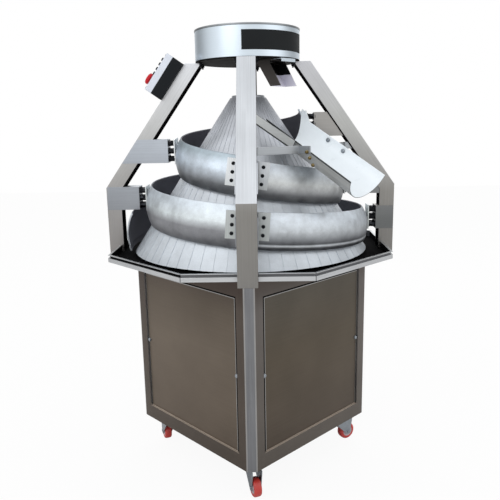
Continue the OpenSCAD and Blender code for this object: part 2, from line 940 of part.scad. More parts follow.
module hopper_lid() {
  skirt = 10;
  inner = hopper_r - hopper_t - side_fit;
  color("#b6c2ca")
    rotate_extrude($fn = 160)
      polygon([
        [0, lid_z], [inner - hopper_t, lid_z], [inner - hopper_t, lid_z - skirt],
        [inner, lid_z - skirt], [inner, lid_z],
        [hopper_r + 1, lid_z], [hopper_r + 1, hopper_top_z],
        [hopper_r - 8, hopper_top_z], [hopper_r - 12, hopper_top_z - lid_t / 2],
        [20, hopper_top_z - lid_t / 2],
        [12, hopper_top_z + knob_h - 12], [22, hopper_top_z + knob_h - 6],
        [22, hopper_top_z + knob_h - 3], [18, hopper_top_z + knob_h], [0, hopper_top_z + knob_h]
      ]);
}

module stirrer_motor() {
  z0 = hopper_z + hopper_floor_t;
  color("#54585c")
    union() {
      translate([0, 0, z0]) cylinder(r = stir_motor_r + 8, h = 5);
      translate([0, 0, z0]) cylinder(r = stir_motor_r, h = stir_motor_h);
      translate([0, 0, z0]) cylinder(r = stir_shaft_r, h = stir_motor_h + stir_arm_h + 2);
    }
}

// Stirrer that hangs over its motor and sweeps the hopper's floor
module flour_stirrer() {
  z0 = stir_z + side_fit;
  reach = hopper_r - hopper_t - 12;
  blade_z = hopper_z + hopper_floor_t + 3;
  color("#c7cacc")
    difference() {
      union() {
        translate([0, 0, z0]) cylinder(r = 2.6 * stir_shaft_r, h = stir_arm_h);
        for (k = [0:2])
          rotate([0, 0, 20 + 120 * k]) {
            translate([0, -5, z0]) cube([reach, 10, stir_arm_h]);
            translate([stir_motor_r + 16, -1.5, blade_z])
              cube([reach - stir_motor_r - 16, 3, z0 - blade_z + 1]);
          }
      }
      translate([0, 0, z0 - 1])
        cylinder(r = stir_shaft_r + run_fit, h = stir_arm_h + 2);
    }
}

// Slide that shuts the flour outlet, with a turned-down pull
module flour_gate() {
  w = outlet_w + 8;
  x0 = outlet_r - outlet_l / 2 - 8;
  color("#dfe8f2")
    outlet_frame()
      union() {
        translate([x0, -w / 2, gate_z]) cube([hopper_r + 10 - x0, w, gate_t]);
        translate([hopper_r + 10, -w / 2, gate_z - 8]) cube([2.5, w, gate_t + 8]);
      }
}

// Flour spout: an open channel hung under the outlet, with the slide's runners
module flour_spout() {
  run_w = outlet_w + 8 + 2 * side_fit;
  x0 = outlet_r - outlet_l / 2 - spout_back;
  x1 = outlet_r + outlet_l / 2 + spout_lip;
  z1 = hopper_z - guide_h;
  out = spout_lean;
  color("#b9b4c4")
    outlet_frame()
      union() {
        for (m = [-1, 1])
          translate([x0, m * (run_w + guide_w) / 2 - guide_w / 2, z1])
            cube([x1 - x0, guide_w, guide_h]);
        difference() {
          translate([x0, -run_w / 2 - guide_w, z1 - 2])
            cube([x1 - x0, run_w + 2 * guide_w, 2]);
          translate([outlet_r - outlet_l / 2, -outlet_w / 2, z1 - 3])
            cube([outlet_l, outlet_w, 4]);
        }
        difference() {
          side_cut(spout_w)
            polygon([
              [x0, z1 - 2], [x0 + spout_d + spout_lip, z1 - 2],
              [x0 + spout_d + out, z1 - spout_h], [x0 + out, z1 - spout_h]
            ]);
          side_cut(spout_w - 2 * spout_t)
            polygon([
              [x0 + spout_t, z1 - 1], [x1 + spout_d, z1 - 1],
              [x1 + spout_d + out, z1 - spout_h - 1], [x0 + out + spout_t, z1 - spout_h - 1]
            ]);
        }
        difference() {
          translate([x0, -spout_w / 2, z1 - 2]) cube([x1 - x0, spout_w, 2]);
          translate([outlet_r - outlet_l / 2, -outlet_w / 2, z1 - 3])
            cube([outlet_l, outlet_w, 4]);
        }
      }
}

// Frame on the left post's slanted face: X out of the face, Z up the slope
module box_frame() {
  at_post(3)
    translate([post_top_r, 0, hopper_z])
      rotate([0, -post_tilt, 0])
        translate([0, 0, -box_gap - box_l])
          children();
}

module round_box(l, w, d, r) {
  translate([0, 0, l / 2])
    rotate([0, 90, 0])
      linear_extrude(d)
        union() {
          square([l - 2 * r, w], center = true);
          square([l, w - 2 * r], center = true);
          for (a = [-1, 1])
            for (b = [-1, 1])
              translate([a * (l / 2 - r), b * (w / 2 - r)]) circle(r = r, $fn = 32);
        }
}

module control_box() {
  color("#2a2a2e")
    box_frame()
      difference() {
        round_box(box_l, box_w, box_d, 6);
        translate([box_wall, 0, box_wall])
          round_box(box_l - 2 * box_wall, box_w - 2 * box_wall, box_d, 4);
      }
}

function stop_z() = box_l - stop_place;
function button_z(k) = box_l - button_place - button_gap * k;

module control_lid() {
  color("#e4e6f0")
    box_frame()
      difference() {
        union() {
          translate([box_d, 0, 0]) round_box(box_l, box_w, box_lid_d, 6);
          translate([lid_out, 0, stop_z()])
            rotate([0, 90, 0]) cylinder(r = stop_stem_r + 4, h = 5);
          for (k = [0:3])
            translate([lid_out, 0, button_z(k)])
              rotate([0, 90, 0]) cylinder(r = button_r + 2, h = 2);
        }
        translate([box_d - 1, 0, box_wall])
          round_box(box_l - 2 * box_wall, box_w - 2 * box_wall, box_lid_d - box_wall + 1, 4);
        translate([box_d, 0, stop_z()])
          rotate([0, 90, 0]) cylinder(r = stop_stem_r + run_fit, h = box_lid_d + 6);
        for (k = [0:3])
          translate([box_d, 0, button_z(k)])
            rotate([0, 90, 0]) cylinder(r = button_r + run_fit, h = box_lid_d + 6);
      }
}

// Mushroom stop button on its stem
module stop_button() {
  head_x = lid_out + 5 + stop_travel + 1;
  color("#c8202a")
    box_frame()
      translate([0, 0, stop_z()])
        rotate([0, 90, 0])
          rotate_extrude()
            polygon([
              [0, box_d + 6], [stop_stem_r, box_d + 6], [stop_stem_r, head_x],
              [stop_r - 3, head_x], [stop_r, head_x + 3], [stop_r, head_x + 6],
              [stop_r - 4, head_x + 10], [stop_r - 10, head_x + 12], [0, head_x + 12.5]
            ]);
}

module push_button(k) {
  color("#33343a")
    box_frame()
      translate([0, 0, button_z(k)])
        rotate([0, 90, 0])
          rotate_extrude()
            polygon([
              [0, box_d + 6], [button_r, box_d + 6],
              [button_r, lid_out + 2 + button_out - 1],
              [button_r - 1, lid_out + 2 + button_out], [0, lid_out + 2 + button_out]
            ]);
}

// Bearing column on the deck, with a bearing at each end
module bearing_column() {
  tube_r = bearing_r + column_wall;
  color("#777b80")
    difference() {
      union() {
        translate([0, 0, column_z]) cylinder(r = flange_r, h = 10);
        translate([0, 0, column_z]) cylinder(r = tube_r, h = column_h);
      }
      translate([0, 0, column_z - 1]) cylinder(r = bearing_r - 5, h = column_h + 2);
      translate([0, 0, column_z - 1]) cylinder(r = bearing_r, h = bearing_h + 1);
      translate([0, 0, column_top - bearing_h]) cylinder(r = bearing_r, h = bearing_h + 1);
    }
  color("#d4d6d8")
    for (z = [column_z, column_top - bearing_h])
      translate([0, 0, z + run_fit])
        difference() {
          cylinder(r = bearing_r - run_fit, h = bearing_h - 2 * run_fit);
          translate([0, 0, -1]) cylinder(r = shaft_r + run_fit, h = bearing_h + 2);
        }
}

// Frustum that fits the inside of the cone's wall
module cone_disc(z, h) {
  in0 = cone_at(z) - cone_wall - side_fit;
  in1 = cone_at(z + h) - cone_wall - side_fit;
  translate([0, 0, z]) cylinder(r1 = in0, r2 = in1, h = h);
}

// Main shaft with the spider and the hub that carry the cone
module main_shaft() {
  spider_z = column_top + 12;
  spider_h = 12;
  spider_r = cone_at(spider_z) - cone_wall;
  hub_z = cone_top_z - cap_t - 26;
  color("#9a9da1")
    union() {
      translate([0, 0, gear_z - 6])
        cylinder(r = shaft_r, h = hub_z + 14 - gear_z + 6);
      difference() {
        cone_disc(spider_z, spider_h);
        for (k = [0:5])
          rotate([0, 0, 60 * k])
            translate([(spider_r + shaft_r + 18) / 2, 0, spider_z - 1])
              cylinder(r = (spider_r - shaft_r) / 4, h = spider_h + 2);
      }
      translate([0, 0, spider_z]) cylinder(r = shaft_r + 18, h = 40);
      cone_disc(hub_z, 14);
    }
}

module cone_shell() {
  slant = atan(cone_tan);
  z1 = cone_top_z - cap_t;
  color("#c9cacb")
    difference() {
      rotate_extrude($fn = 180)
        polygon([
          [cone_base_r - cone_wall, cone_base_z], [cone_base_r, cone_base_z],
          [cone_at(z1), z1], [cone_at(z1) - cone_wall, z1]
        ]);
      for (k = [0:flute_n - 1])
        rotate([0, 0, 360 * (k + 0.5) / flute_n])
          translate([cone_base_r, 0, cone_base_z])
            rotate([0, -slant, 0])
              translate([-flute_d, -flute_w / 2, -10])
                cube([flute_d + 3, flute_w, cone_h / cos(slant) + 20]);
    }
}

module cone_cap() {
  z0 = cone_top_z - cap_t;
  color("#b3b4b6")
    rotate_extrude()
      polygon([
        [0, z0], [cone_top_r, z0], [cone_top_r, cone_top_z - 2],
        [cone_top_r - 2, cone_top_z], [16, cone_top_z], [14, cone_top_z + 5], [0, cone_top_z + 5]
      ]);
}

// Worm gearbox hung under the deck
module gearbox() {
  flange = gear_half + 12;
  color("#4d6072")
    at_side(1)
      difference() {
        union() {
          translate([0, 0, gear_top - gear_flange_t]) cylinder(r = flange, h = gear_flange_t);
          translate([0, 0, gear_z]) cylinder(r = gear_half, h = gear_h);
          translate([-gear_half, 0, worm_z - 36])
            cube([2 * gear_half, worm_off + 40, 80]);
          translate([gear_half - 1, worm_off, worm_z])
            rotate([0, 90, 0]) cylinder(r = motor_r - 6, h = motor_x - gear_half + 1);
        }
        translate([0, 0, gear_z - 1])
          cylinder(r = shaft_r + run_fit, h = gear_h + gear_flange_t + 2);
        translate([0, 0, gear_z + 22])
          cylinder(r = shaft_r + 8, h = gear_h - 44);
      }
}

// The motor's own frame: Z along its axis, away from the gearbox
module motor_frame() {
  at_side(1)
    translate([motor_x, worm_off, worm_z])
      rotate([0, 90, 0])
        children();
}

module drive_motor() {
  fins = 28;
  cover_r = motor_r + 1;
  color("#4d6072")
    motor_frame() {
      difference() {
        union() {
          cylinder(r = motor_r - 6, h = motor_l);
          cylinder(r = motor_r, h = 10);
          translate([0, 0, motor_l - 10]) cylinder(r = motor_r - 1, h = 10);
          for (k = [0:fins - 1])
            rotate([0, 0, 360 * k / fins])
              translate([motor_r - 8, -1.2, 5]) cube([8, 2.4, motor_l - 10]);
          translate([-motor_r - 22, -32, 30]) cube([32, 64, 62]);
        }
        translate([0, 0, -1]) cylinder(r = rotor_r + run_fit, h = motor_l + 2);
      }
      translate([0, 0, motor_l])
        difference() {
          cylinder(r = cover_r, h = fan_l);
          translate([0, 0, -1]) cylinder(r = cover_r - 2, h = fan_l - 1);
          for (k = [0:11])
            rotate([0, 0, 30 * k])
              translate([16, -2.5, fan_l - 4]) cube([motor_r - 26, 5, 6]);
        }
    }
}

module motor_rotor() {
  color("#8f9296")
    motor_frame()
      union() {
        translate([0, 0, 2]) cylinder(r = rotor_r, h = motor_l + fan_l - 12);
        translate([0, 0, motor_l + 10]) cylinder(r = motor_r - 8, h = 3);
        for (k = [0:5])
          rotate([0, 0, 60 * k])
            translate([rotor_r - 2, -1, motor_l + 11.5]) cube([motor_r - 12 - rotor_r, 2, 20]);
      }
}

// Cable gland through the rear rail
module cable_gland() {
  color("#2c2d30")
    at_side(2)
      translate([cab_half, 0, gland_z])
        rotate([0, 90, 0])
          difference() {
            union() {
              cylinder(r = gland_r + 8, h = 7, $fn = 6);
              cylinder(r = gland_r + 4.5, h = gland_out);
              translate([0, 0, -frame_t - 10]) cylinder(r = gland_r + 3.5, h = frame_t + 11);
              translate([0, 0, -frame_t - 5]) cylinder(r = gland_r + 7, h = 5, $fn = 6);
            }
            translate([0, 0, -frame_t - 11]) cylinder(r = gland_r, h = gland_out + frame_t + 12);
          }
}

corner_uprights();
frame_rails();
floor_plate();
deck_plate();
catch_tray();
side_panel(0);  // panel_front_right
side_panel(1);  // panel_rear_right
side_panel(2);  // panel_rear_left
side_panel(3);  // panel_front_left
panel_screws();
castor_plates();
castor_fork(0);  // castor_fork_front
castor_fork(1);  // castor_fork_right
castor_fork(2);  // castor_fork_rear
castor_fork(3);  // castor_fork_left
castor_wheel(0);  // castor_wheel_front
castor_wheel(1);  // castor_wheel_right
castor_wheel(2);  // castor_wheel_rear
castor_wheel(3);  // castor_wheel_left
post(0);  // post_front
post(1);  // post_right
post(2);  // post_rear
post(3);  // post_left
brackets(0);  // brackets_front
brackets(1);  // brackets_right
brackets(2);  // brackets_rear
brackets(3);  // brackets_left
track_saddles();
track_studs();
track_segment(-track_lead, 90);  // track_segment_1
track_segment(90, 270, true);  // track_segment_2
track_segment(270, 450);  // track_segment_3
track_segment(450, 630, true);  // track_segment_4
track_segment(630, track_turn);  // track_segment_5
outlet_chute();
chute_deflector();
chute_supports();
hopper_base();
hopper_shell();
hopper_lid();
stirrer_motor();
flour_stirrer();
flour_gate();
flour_spout();
control_box();
control_lid();
stop_button();
push_button(0);  // push_button_1
push_button(1);  // push_button_2
push_button(2);  // push_button_3
push_button(3);  // push_button_4
bearing_column();
main_shaft();
cone_shell();
cone_cap();
gearbox();
drive_motor();
motor_rotor();
cable_gland();
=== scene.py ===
import json
import math

import bmesh
import bpy
from mathutils import Matrix, Vector


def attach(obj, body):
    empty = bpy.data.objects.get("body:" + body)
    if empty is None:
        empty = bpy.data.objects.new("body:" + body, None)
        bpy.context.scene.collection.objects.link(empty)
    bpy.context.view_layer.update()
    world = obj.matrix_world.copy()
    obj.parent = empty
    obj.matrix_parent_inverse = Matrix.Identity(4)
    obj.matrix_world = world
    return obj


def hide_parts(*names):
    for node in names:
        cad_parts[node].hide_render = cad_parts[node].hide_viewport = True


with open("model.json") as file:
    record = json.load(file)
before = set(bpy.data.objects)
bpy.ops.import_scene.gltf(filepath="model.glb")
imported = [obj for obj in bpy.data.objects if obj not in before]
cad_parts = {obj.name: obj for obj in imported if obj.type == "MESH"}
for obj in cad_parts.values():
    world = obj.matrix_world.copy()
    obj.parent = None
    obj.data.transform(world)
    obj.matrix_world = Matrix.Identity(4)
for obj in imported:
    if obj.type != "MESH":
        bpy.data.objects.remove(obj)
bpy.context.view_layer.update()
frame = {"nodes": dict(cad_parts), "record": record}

mm = 0.001
upward = Vector((0, 0, 1))
scene = bpy.context.scene
cadNodes = frame["nodes"]
record = frame["record"]
bodyOf = {node: body for body, members in record["behaviour"]["bodies"].items() for node in members}
slotOf = {part["node"]: part["material_slot"] for part in record["subparts"]}
# plan angles of the posts and of the cabinet's sides between them
cornerPlans = {"front": -90, "right": 0, "rear": 90, "left": 180}
sidePlans = {"front_right": -45, "rear_right": 45, "rear_left": 135, "front_left": 225}
print("frame loaded:", len(cadNodes), "nodes")


# sRGB hex to linear
def linear(code):
    parts = [int(code[i:i + 2], 16) / 255 for i in (1, 3, 5)]
    return tuple(c / 12.92 if c <= 0.04045 else ((c + 0.055) / 1.055) ** 2.4 for c in parts) + (1.0,)


# adds a node, sets its properties, and fills or links its sockets, given by name or in order; a node
# given as a value stands for its first output
def addNode(tree, kind, sockets=(), **settings):
    node = tree.nodes.new(kind)
    for key, value in settings.items():
        setattr(node, key, value)
    for key, value in (sockets.items() if isinstance(sockets, dict) else enumerate(sockets)):
        if isinstance(value, bpy.types.Node):
            value = value.outputs[0]
        if isinstance(value, bpy.types.NodeSocket):
            tree.links.new(value, node.inputs[key])
        else:
            node.inputs[key].default_value = value
    return node


def addObject(name, data):
    item = bpy.data.objects.new(name, data)
    scene.collection.objects.link(item)
    return item


# direction at a plan angle and a lean above level, in degrees
def unit(plan, lean=0.0):
    a, e = math.radians(plan), math.radians(lean)
    return Vector((math.cos(a) * math.cos(e), math.sin(a) * math.cos(e), math.sin(e)))


# camera at the photograph's place, in mm and radians
cameraView = {
    "place": (43.35, -2100.4, 1190.96),
    "pitch": 0.2084,
    "yaw": -0.0221,
    "roll": -0.0184,
    "lens": 42.965,
    "sensor": 36.0,
    "farthest": 50000.0,
}


def makeCamera(view):
    data = bpy.data.cameras.new("photoCamera")
    data.lens = view["lens"]
    data.sensor_width = view["sensor"]
    data.clip_end = view["farthest"] * mm
    camera = addObject("photoCamera", data)
    level = Matrix.Rotation(-view["yaw"], 4, "Z") @ Matrix.Rotation(math.pi / 2 - view["pitch"], 4, "X")
    turn = level @ Matrix.Rotation(view["roll"], 4, "Z")
    camera.matrix_world = Matrix.Translation(Vector(view["place"]) * mm) @ turn
    scene.camera = camera


makeCamera(cameraView)

# wide soft lamps, with places in metres, and the room that metal mirrors: its far corners and right wall
# are darker, each over a range of the direction looked at
studio = {
    "ambient": 0.80,
    "farCorners": 0.25,
    "cornerAside": (0.4, 0.7),
    "cornerRightShare": 0.72,
    "cornerBehind": (-0.12, 0.45),
    "rightWall": 0.88,
    "wallAside": (0.3, 0.9),
    "underCeiling": (0.65, 0.1),
    "floorColor": "#f6f6f6",
    "floorGlow": 0.93,
    "floorHalf": 9.0,
    "aim": (0, 0, 0.8),
    "lamps": [
        ("keySoftbox", (-1.9, -2.6, 3.0), 2.6, 26.0),
        ("rightSoftbox", (2.8, -1.6, 2.4), 2.6, 12.0),
        ("backSoftbox", (0.4, 2.8, 3.2), 2.6, 20.0),
    ],
}


def makeWorld(spec):
    world = bpy.data.worlds.new("paleStudio")
    scene.world = world
    world.use_nodes = True
    tree = world.node_tree
    tree.nodes.clear()
    rays = addNode(tree, "ShaderNodeLightPath").outputs
    seen = rays["Is Camera Ray"]
    for ray in ("Is Glossy Ray", "Is Transmission Ray"):
        seen = addNode(tree, "ShaderNodeMath", (seen, rays[ray]), operation="MAXIMUM")
    level = addNode(tree, "ShaderNodeMapRange", (seen, 0.0, 1.0, spec["ambient"], 1.0))
    place = addNode(tree, "ShaderNodeTexCoord").outputs["Generated"]
    way = addNode(tree, "ShaderNodeSeparateXYZ", (place,)).outputs
    leftward = addNode(tree, "ShaderNodeMath", (way["X"], -1.0), operation="MULTIPLY")
    rightward = addNode(tree, "ShaderNodeMath", (way["X"], spec["cornerRightShare"]), operation="MULTIPLY")
    aside = addNode(tree, "ShaderNodeMath", (leftward, rightward), operation="MAXIMUM")
    aside = addNode(tree, "ShaderNodeMapRange", (aside, *spec["cornerAside"]))
    behind = addNode(tree, "ShaderNodeMapRange", (way["Y"], *spec["cornerBehind"]))
    wall = addNode(tree, "ShaderNodeMapRange", (way["X"], *spec["wallAside"]))
    low = addNode(tree, "ShaderNodeMapRange", (way["Z"], *spec["underCeiling"]))
    for limits, depth in (((aside, behind, low), spec["farCorners"]), ((wall, low), spec["rightWall"])):
        share = rays["Is Glossy Ray"]
        for limit in limits:
            share = addNode(tree, "ShaderNodeMath", (share, limit), operation="MULTIPLY")
        dim = addNode(tree, "ShaderNodeMapRange", (share, 0.0, 1.0, 1.0, depth))
        level = addNode(tree, "ShaderNodeMath", (level, dim), operation="MULTIPLY")
    light = addNode(tree, "ShaderNodeBackground", {"Color": (1, 1, 1, 1), "Strength": level})
    addNode(tree, "ShaderNodeOutputWorld", {"Surface": light})


def newMaterial(name):
    material = bpy.data.materials.new(name)
    material.use_nodes = True
    material.node_tree.nodes.clear()
    return material, material.node_tree


# the floor keeps the shadow, and the camera sees it nearly white
def makeFloor(spec):
    material, tree = newMaterial("paleFloor")
    matt = addNode(tree, "ShaderNodeBsdfDiffuse", {"Color": linear(spec["floorColor"])})
    glow = addNode(tree, "ShaderNodeEmission", {"Color": (1, 1, 1, 1), "Strength": 1.0})
    seen = addNode(tree, "ShaderNodeLightPath").outputs["Is Camera Ray"]
    share = addNode(tree, "ShaderNodeMath", (seen, spec["floorGlow"]), operation="MULTIPLY")
    both = addNode(tree, "ShaderNodeMixShader", (share, matt, glow))
    addNode(tree, "ShaderNodeOutputMaterial", {"Surface": both})
    half = spec["floorHalf"]
    mesh = bpy.data.meshes.new("studioFloor")
    mesh.from_pydata([(-half, -half, 0), (half, -half, 0), (half, half, 0), (-half, half, 0)], [],
                     [(0, 1, 2, 3)])
    mesh.materials.append(material)
    addObject("studioFloor", mesh)


def makeLamps(spec):
    for name, place, size, power in spec["lamps"]:
        data = bpy.data.lights.new(name, "AREA")
        data.size = size
        data.energy = power
        lamp = addObject(name, data)
        lamp.location = place
        lamp.rotation_euler = (Vector(spec["aim"]) - Vector(place)).to_track_quat("-Z", "Y").to_euler()


scene.view_settings.view_transform = "Standard"
makeWorld(studio)
makeFloor(studio)
makeLamps(studio)
print("camera, floor and lamps made")


# colour of a metal with painted light: the level colour, a painted highlight on faces raised to the ceiling
# and painted shade on faces hanging over, each reached over a range of the normal's height; the level colour
# may be a list of heights in mm and their colours, which paints light and shade by height
def paintedFacingTone(tree, level, raised, hanging, raisedFrom=(0.08, 0.5), hangingFrom=(-0.08, -0.5)):
    if isinstance(level, list):
        low, high = level[0][0], level[-1][0]
        place = addNode(tree, "ShaderNodeTexCoord").outputs["Object"]
        spot = addNode(tree, "ShaderNodeSeparateXYZ", (place,)).outputs
        share = addNode(tree, "ShaderNodeMapRange", (spot["Z"], low * mm, high * mm))
        tone = addNode(tree, "ShaderNodeValToRGB", (share,))
        stops = tone.color_ramp.elements
        stops[0].color, stops[1].color = linear(level[0][1]), linear(level[-1][1])
        for height, color in level[1:-1]:
            stops.new((height - low) / (high - low)).color = linear(color)
    else:
        tone = linear(level)
    normal = addNode(tree, "ShaderNodeNewGeometry").outputs["Normal"]
    way = addNode(tree, "ShaderNodeSeparateXYZ", (normal,)).outputs
    for color, span in ((raised, raisedFrom), (hanging, hangingFrom)):
        share = addNode(tree, "ShaderNodeMapRange", (way["Z"], *span))
        both = addNode(tree, "ShaderNodeMix", {0: share, 6: tone, 7: linear(color)}, data_type="RGBA")
        tone = both.outputs[2]
    return tone


# joins a finish: noises vary its tone and its gloss, each as a noise, the range of it that counts and the
# range that gives; the relief is a noise, a strength and a depth in mm
def joinFinish(tree, tone, shades, gloss, relief, constants):
    for spread in shades:
        share = addNode(tree, "ShaderNodeMapRange", spread)
        tone = addNode(tree, "ShaderNodeVectorMath", {0: tone, "Scale": share}, operation="SCALE")
    height, strength, depth = relief
    bump = addNode(tree, "ShaderNodeBump", {"Height": height, "Strength": strength, "Distance": depth * mm})
    shine = addNode(tree, "ShaderNodeMapRange", gloss)
    shader = addNode(tree, "ShaderNodeBsdfPrincipled", {
        "Base Color": tone, "Roughness": shine, "Normal": bump, **constants})
    addNode(tree, "ShaderNodeOutputMaterial", {"Surface": shader})


# rolled and ground sheet: fine lines run one way. The grit's lines are about 0.3 mm apart, which is
# too fine to show here, so they are drawn 3 mm wide or more.
def groundSteel(name, level, raised, hanging, rough, lineWidth=3.0, lineLength=260.0, blotchSize=182.0,
                blotch=0.08, stroke=0.10, metallic=1.0):
    material, tree = newMaterial(name)
    grain = addNode(tree, "ShaderNodeUVMap", uv_map="grain")
    stretch = addNode(tree, "ShaderNodeMapping", {
        "Vector": grain, "Scale": (1 / (lineLength * mm), 1 / (lineWidth * mm), 1)})
    lines = addNode(tree, "ShaderNodeTexNoise", {
        "Vector": stretch, "Scale": 1.0, "Detail": 4.0, "Roughness": 0.65})
    place = addNode(tree, "ShaderNodeTexCoord").outputs["Object"]
    clouds = addNode(tree, "ShaderNodeTexNoise", {
        "Vector": place, "Scale": 1 / (blotchSize * mm), "Detail": 3.0})
    # the tone carries painted light: a painted highlight on upward faces, painted shade on downward ones
    joinFinish(tree, paintedFacingTone(tree, level, raised, hanging),
               [(clouds, 0.3, 0.7, 1 - blotch, 1 + blotch), (lines, 0.25, 0.75, 1 - stroke, 1 + stroke)],
               (lines, 0.2, 0.8, rough - 0.07, rough + 0.09), (lines, 0.12, 0.4),
               {"Metallic": metallic, "Anisotropic": 0.4})
    return material


# sand-cast or machined metal without a grain: mottled, with fine pits
def castMetal(name, level, raised, hanging, rough, grit=2.2, blotchSize=60.0, blotch=0.12, metallic=1.0,
              **spans):
    material, tree = newMaterial(name)
    place = addNode(tree, "ShaderNodeTexCoord").outputs["Object"]
    pits = addNode(tree, "ShaderNodeTexNoise", {
        "Vector": place, "Scale": 1 / (grit * mm), "Detail": 3.0, "Roughness": 0.6})
    clouds = addNode(tree, "ShaderNodeTexNoise", {
        "Vector": place, "Scale": 1 / (blotchSize * mm), "Detail": 5.0, "Roughness": 0.6})
    # the tone carries painted light: a painted highlight on upward faces, painted shade on downward ones
    joinFinish(tree, paintedFacingTone(tree, level, raised, hanging, **spans),
               [(clouds, 0.3, 0.7, 1 - blotch, 1 + blotch), (pits, 0.3, 0.7, 0.94, 1.05)],
               (clouds, 0.3, 0.7, rough - 0.06, rough + 0.08), (pits, 0.2, 0.3), {"Metallic": metallic})
    return material


# moulded plastic, rubber, enamel, or a matt dark sheet of painted shade: even colour with faint clouds, fine
# grain, soft gloss
def moulded(name, color, rough, grain=1.6, blotchSize=45.0, blotch=0.06, ior=1.5, coat=0.0):
    material, tree = newMaterial(name)
    place = addNode(tree, "ShaderNodeTexCoord").outputs["Object"]
    fine = addNode(tree, "ShaderNodeTexNoise", {"Vector": place, "Scale": 1 / (grain * mm), "Detail": 2.0})
    clouds = addNode(tree, "ShaderNodeTexNoise", {
        "Vector": place, "Scale": 1 / (blotchSize * mm), "Detail": 4.0})
    joinFinish(tree, linear(color)[:3], [(clouds, 0.3, 0.7, 1 - blotch, 1 + blotch)],
               (clouds, 0.3, 0.7, rough - 0.05, rough + 0.07), (fine, 0.12, 0.15),
               {"IOR": ior, "Coat Weight": coat, "Coat Roughness": 0.15})
    return material


# ground stainless of the posts: long pale lines, with painted shade low down on the upright faces and painted
# light higher up
postSteel = groundSteel("groundStainlessPost", [
    (743, "#858380"), (955, "#908e8a"), (1020, "#a3a2a0"), (1200, "#b6b7b5"), (1392, "#cbccd0")],
    "#d0d4d9", "#4c4a47", 0.36)
# the left post's sheet, a lit copy of the posts' steel painted paler
leftPostSteel = groundSteel("groundStainlessLeftPost", [
    (743, "#969391"), (955, "#a8a6a5"), (1020, "#b0afad"), (1200, "#c2c3c3"), (1392, "#d3d5d9")],
    "#d0d4d9", "#4c4a47", 0.36)
# painted shade, black and matt, inside the posts' channels and on a strip along the edge of their slanted
# stretch
postChannelShade = moulded("paintedChannelShade", "#0c0c0c", 0.80, ior=1.12)
# ground stainless of the cabinet frame, brown in the shade of the tray
frameSteel = groundSteel("groundStainlessFrame", [
    (118, "#5d554e"), (640, "#58504a"), (700, "#4c433e"), (743, "#483e3a")],
    "#8f8b86", "#332f2b", 0.38)
# the frame's right sides, a lit copy painted a little paler
rightFrameSteel = groundSteel("groundStainlessRightFrame", [
    (118, "#67615b"), (640, "#6a6562"), (700, "#59534f"), (743, "#514945")],
    "#8f8b86", "#332f2b", 0.38)
# slanted corner faces, ground coarser, a lit copy painted cooler and paler
cornerSteel = groundSteel("groundStainlessCorner", "#7e7f82", "#919295", "#464442", 0.34, lineWidth=7.0,
                          stroke=0.16)
# painted highlight on folds and edges
foldHighlight = groundSteel("paintedFoldHighlight", "#9b9a99", "#b0b1b2", "#6c6a68", 0.34)
# painted highlight on the lower edges of the panels and the ledge under them
ledgeHighlight = groundSteel("paintedLedgeHighlight", "#b9ada1", "#b9ada1", "#6c6a68", 0.45, metallic=0.3)
# painted shadow in the gap round the panels
panelGapShadow = moulded("paintedGapShadow", "#131110", 0.80, ior=1.12)
# sides of the frame's openings, dull in the shade
recessSteel = moulded("shadedStainlessRecess", "#302b27", 0.75, ior=1.15)
# the loose panels, with long faint grind lines: dark brown painted as the reflection of a dark room, and
# painted shade darker still up under the tray
panelSteel = groundSteel("groundStainlessPanel", [
    (180, "#6b6055"), (480, "#6f655a"), (620, "#645b51"), (712, "#534a44")],
    "#7d766c", "#3a342e", 0.32, lineLength=420.0, stroke=0.07)
# the right panels, a shaded copy painted darker and more even
rightPanelSteel = groundSteel("groundStainlessRightPanel", [
    (180, "#5b5249"), (480, "#5c5449"), (712, "#59554e")],
    "#7d766c", "#3a342e", 0.32, lineLength=420.0, stroke=0.07)
# satin sheet of the tray, with a painted highlight on its folded lip
traySteel = groundSteel("satinStainlessTray", "#c3c5c7", "#c9ccce", "#7d7d7d", 0.36)
# the tray's groove, grey in the shade of the lip
grooveSteel = moulded("shadedStainlessGroove", "#727376", 0.70, ior=1.2)
# painted shade on the tray's floor and in the spout's throat
trayShade = moulded("paintedSheetShade", "#121213", 0.75, ior=1.06)
# folded sheet of the clasping brackets, a lit copy painted cool and brighter higher up
clampSteel = groundSteel("satinStainlessClamp", [
    (840, "#8d9094"), (945, "#9ea2a8"), (1110, "#b6bcc4")],
    "#c9ced4", "#66645f", 0.40)
# folded sheet of the other brackets, a shaded copy painted warmer and duller
bracketSteel = groundSteel("satinStainlessBracket", [
    (860, "#747676"), (960, "#868788"), (1080, "#a3a19f"), (1200, "#a6a4a1")],
    "#b5b3b0", "#5f5d5a", 0.40)
# flat bars and pale blade at the chute
barSteel = groundSteel("satinStainlessBar", "#adb1b5", "#bfc4c9", "#75777b", 0.38)
bladeSteel = groundSteel("satinStainlessBlade", "#cacdcd", "#d2d5d5", "#a4a6a6", 0.40)
# flat plates cut from bright sheet, painted brighter higher up
saddleSteel = groundSteel("brightStainlessPlate", [
    (880, "#c3c8c7"), (960, "#cdd1d1"), (1050, "#e8ebed")],
    "#eef0f2", "#babcbd", 0.40)
# satin lid of the drum: painted shade makes its rim greyer than the drum's wall, its top takes a painted
# highlight
lidSteel = groundSteel("satinStainlessLid", "#8d9194", "#b4b8bb", "#5c5e60", 0.32, lineLength=500.0)
# polished wall of the drum: bright and bluish, faint drawing lines
drumSteel = groundSteel("polishedStainless", "#d2dde6", "#d2dade", "#4a4c4e", 0.33, lineLength=500.0,
                        blotch=0.03, stroke=0.04)
# dull dark cheeks of the open flour channel
spoutSteel = groundSteel("dullStainlessSpout", "#565250", "#6a6664", "#3a3735", 0.45)
# flour left on the channel's floor, pale and dusty
spoutFloor = moulded("flourFilm", "#dddbea", 0.80, grain=3.0, ior=1.2)
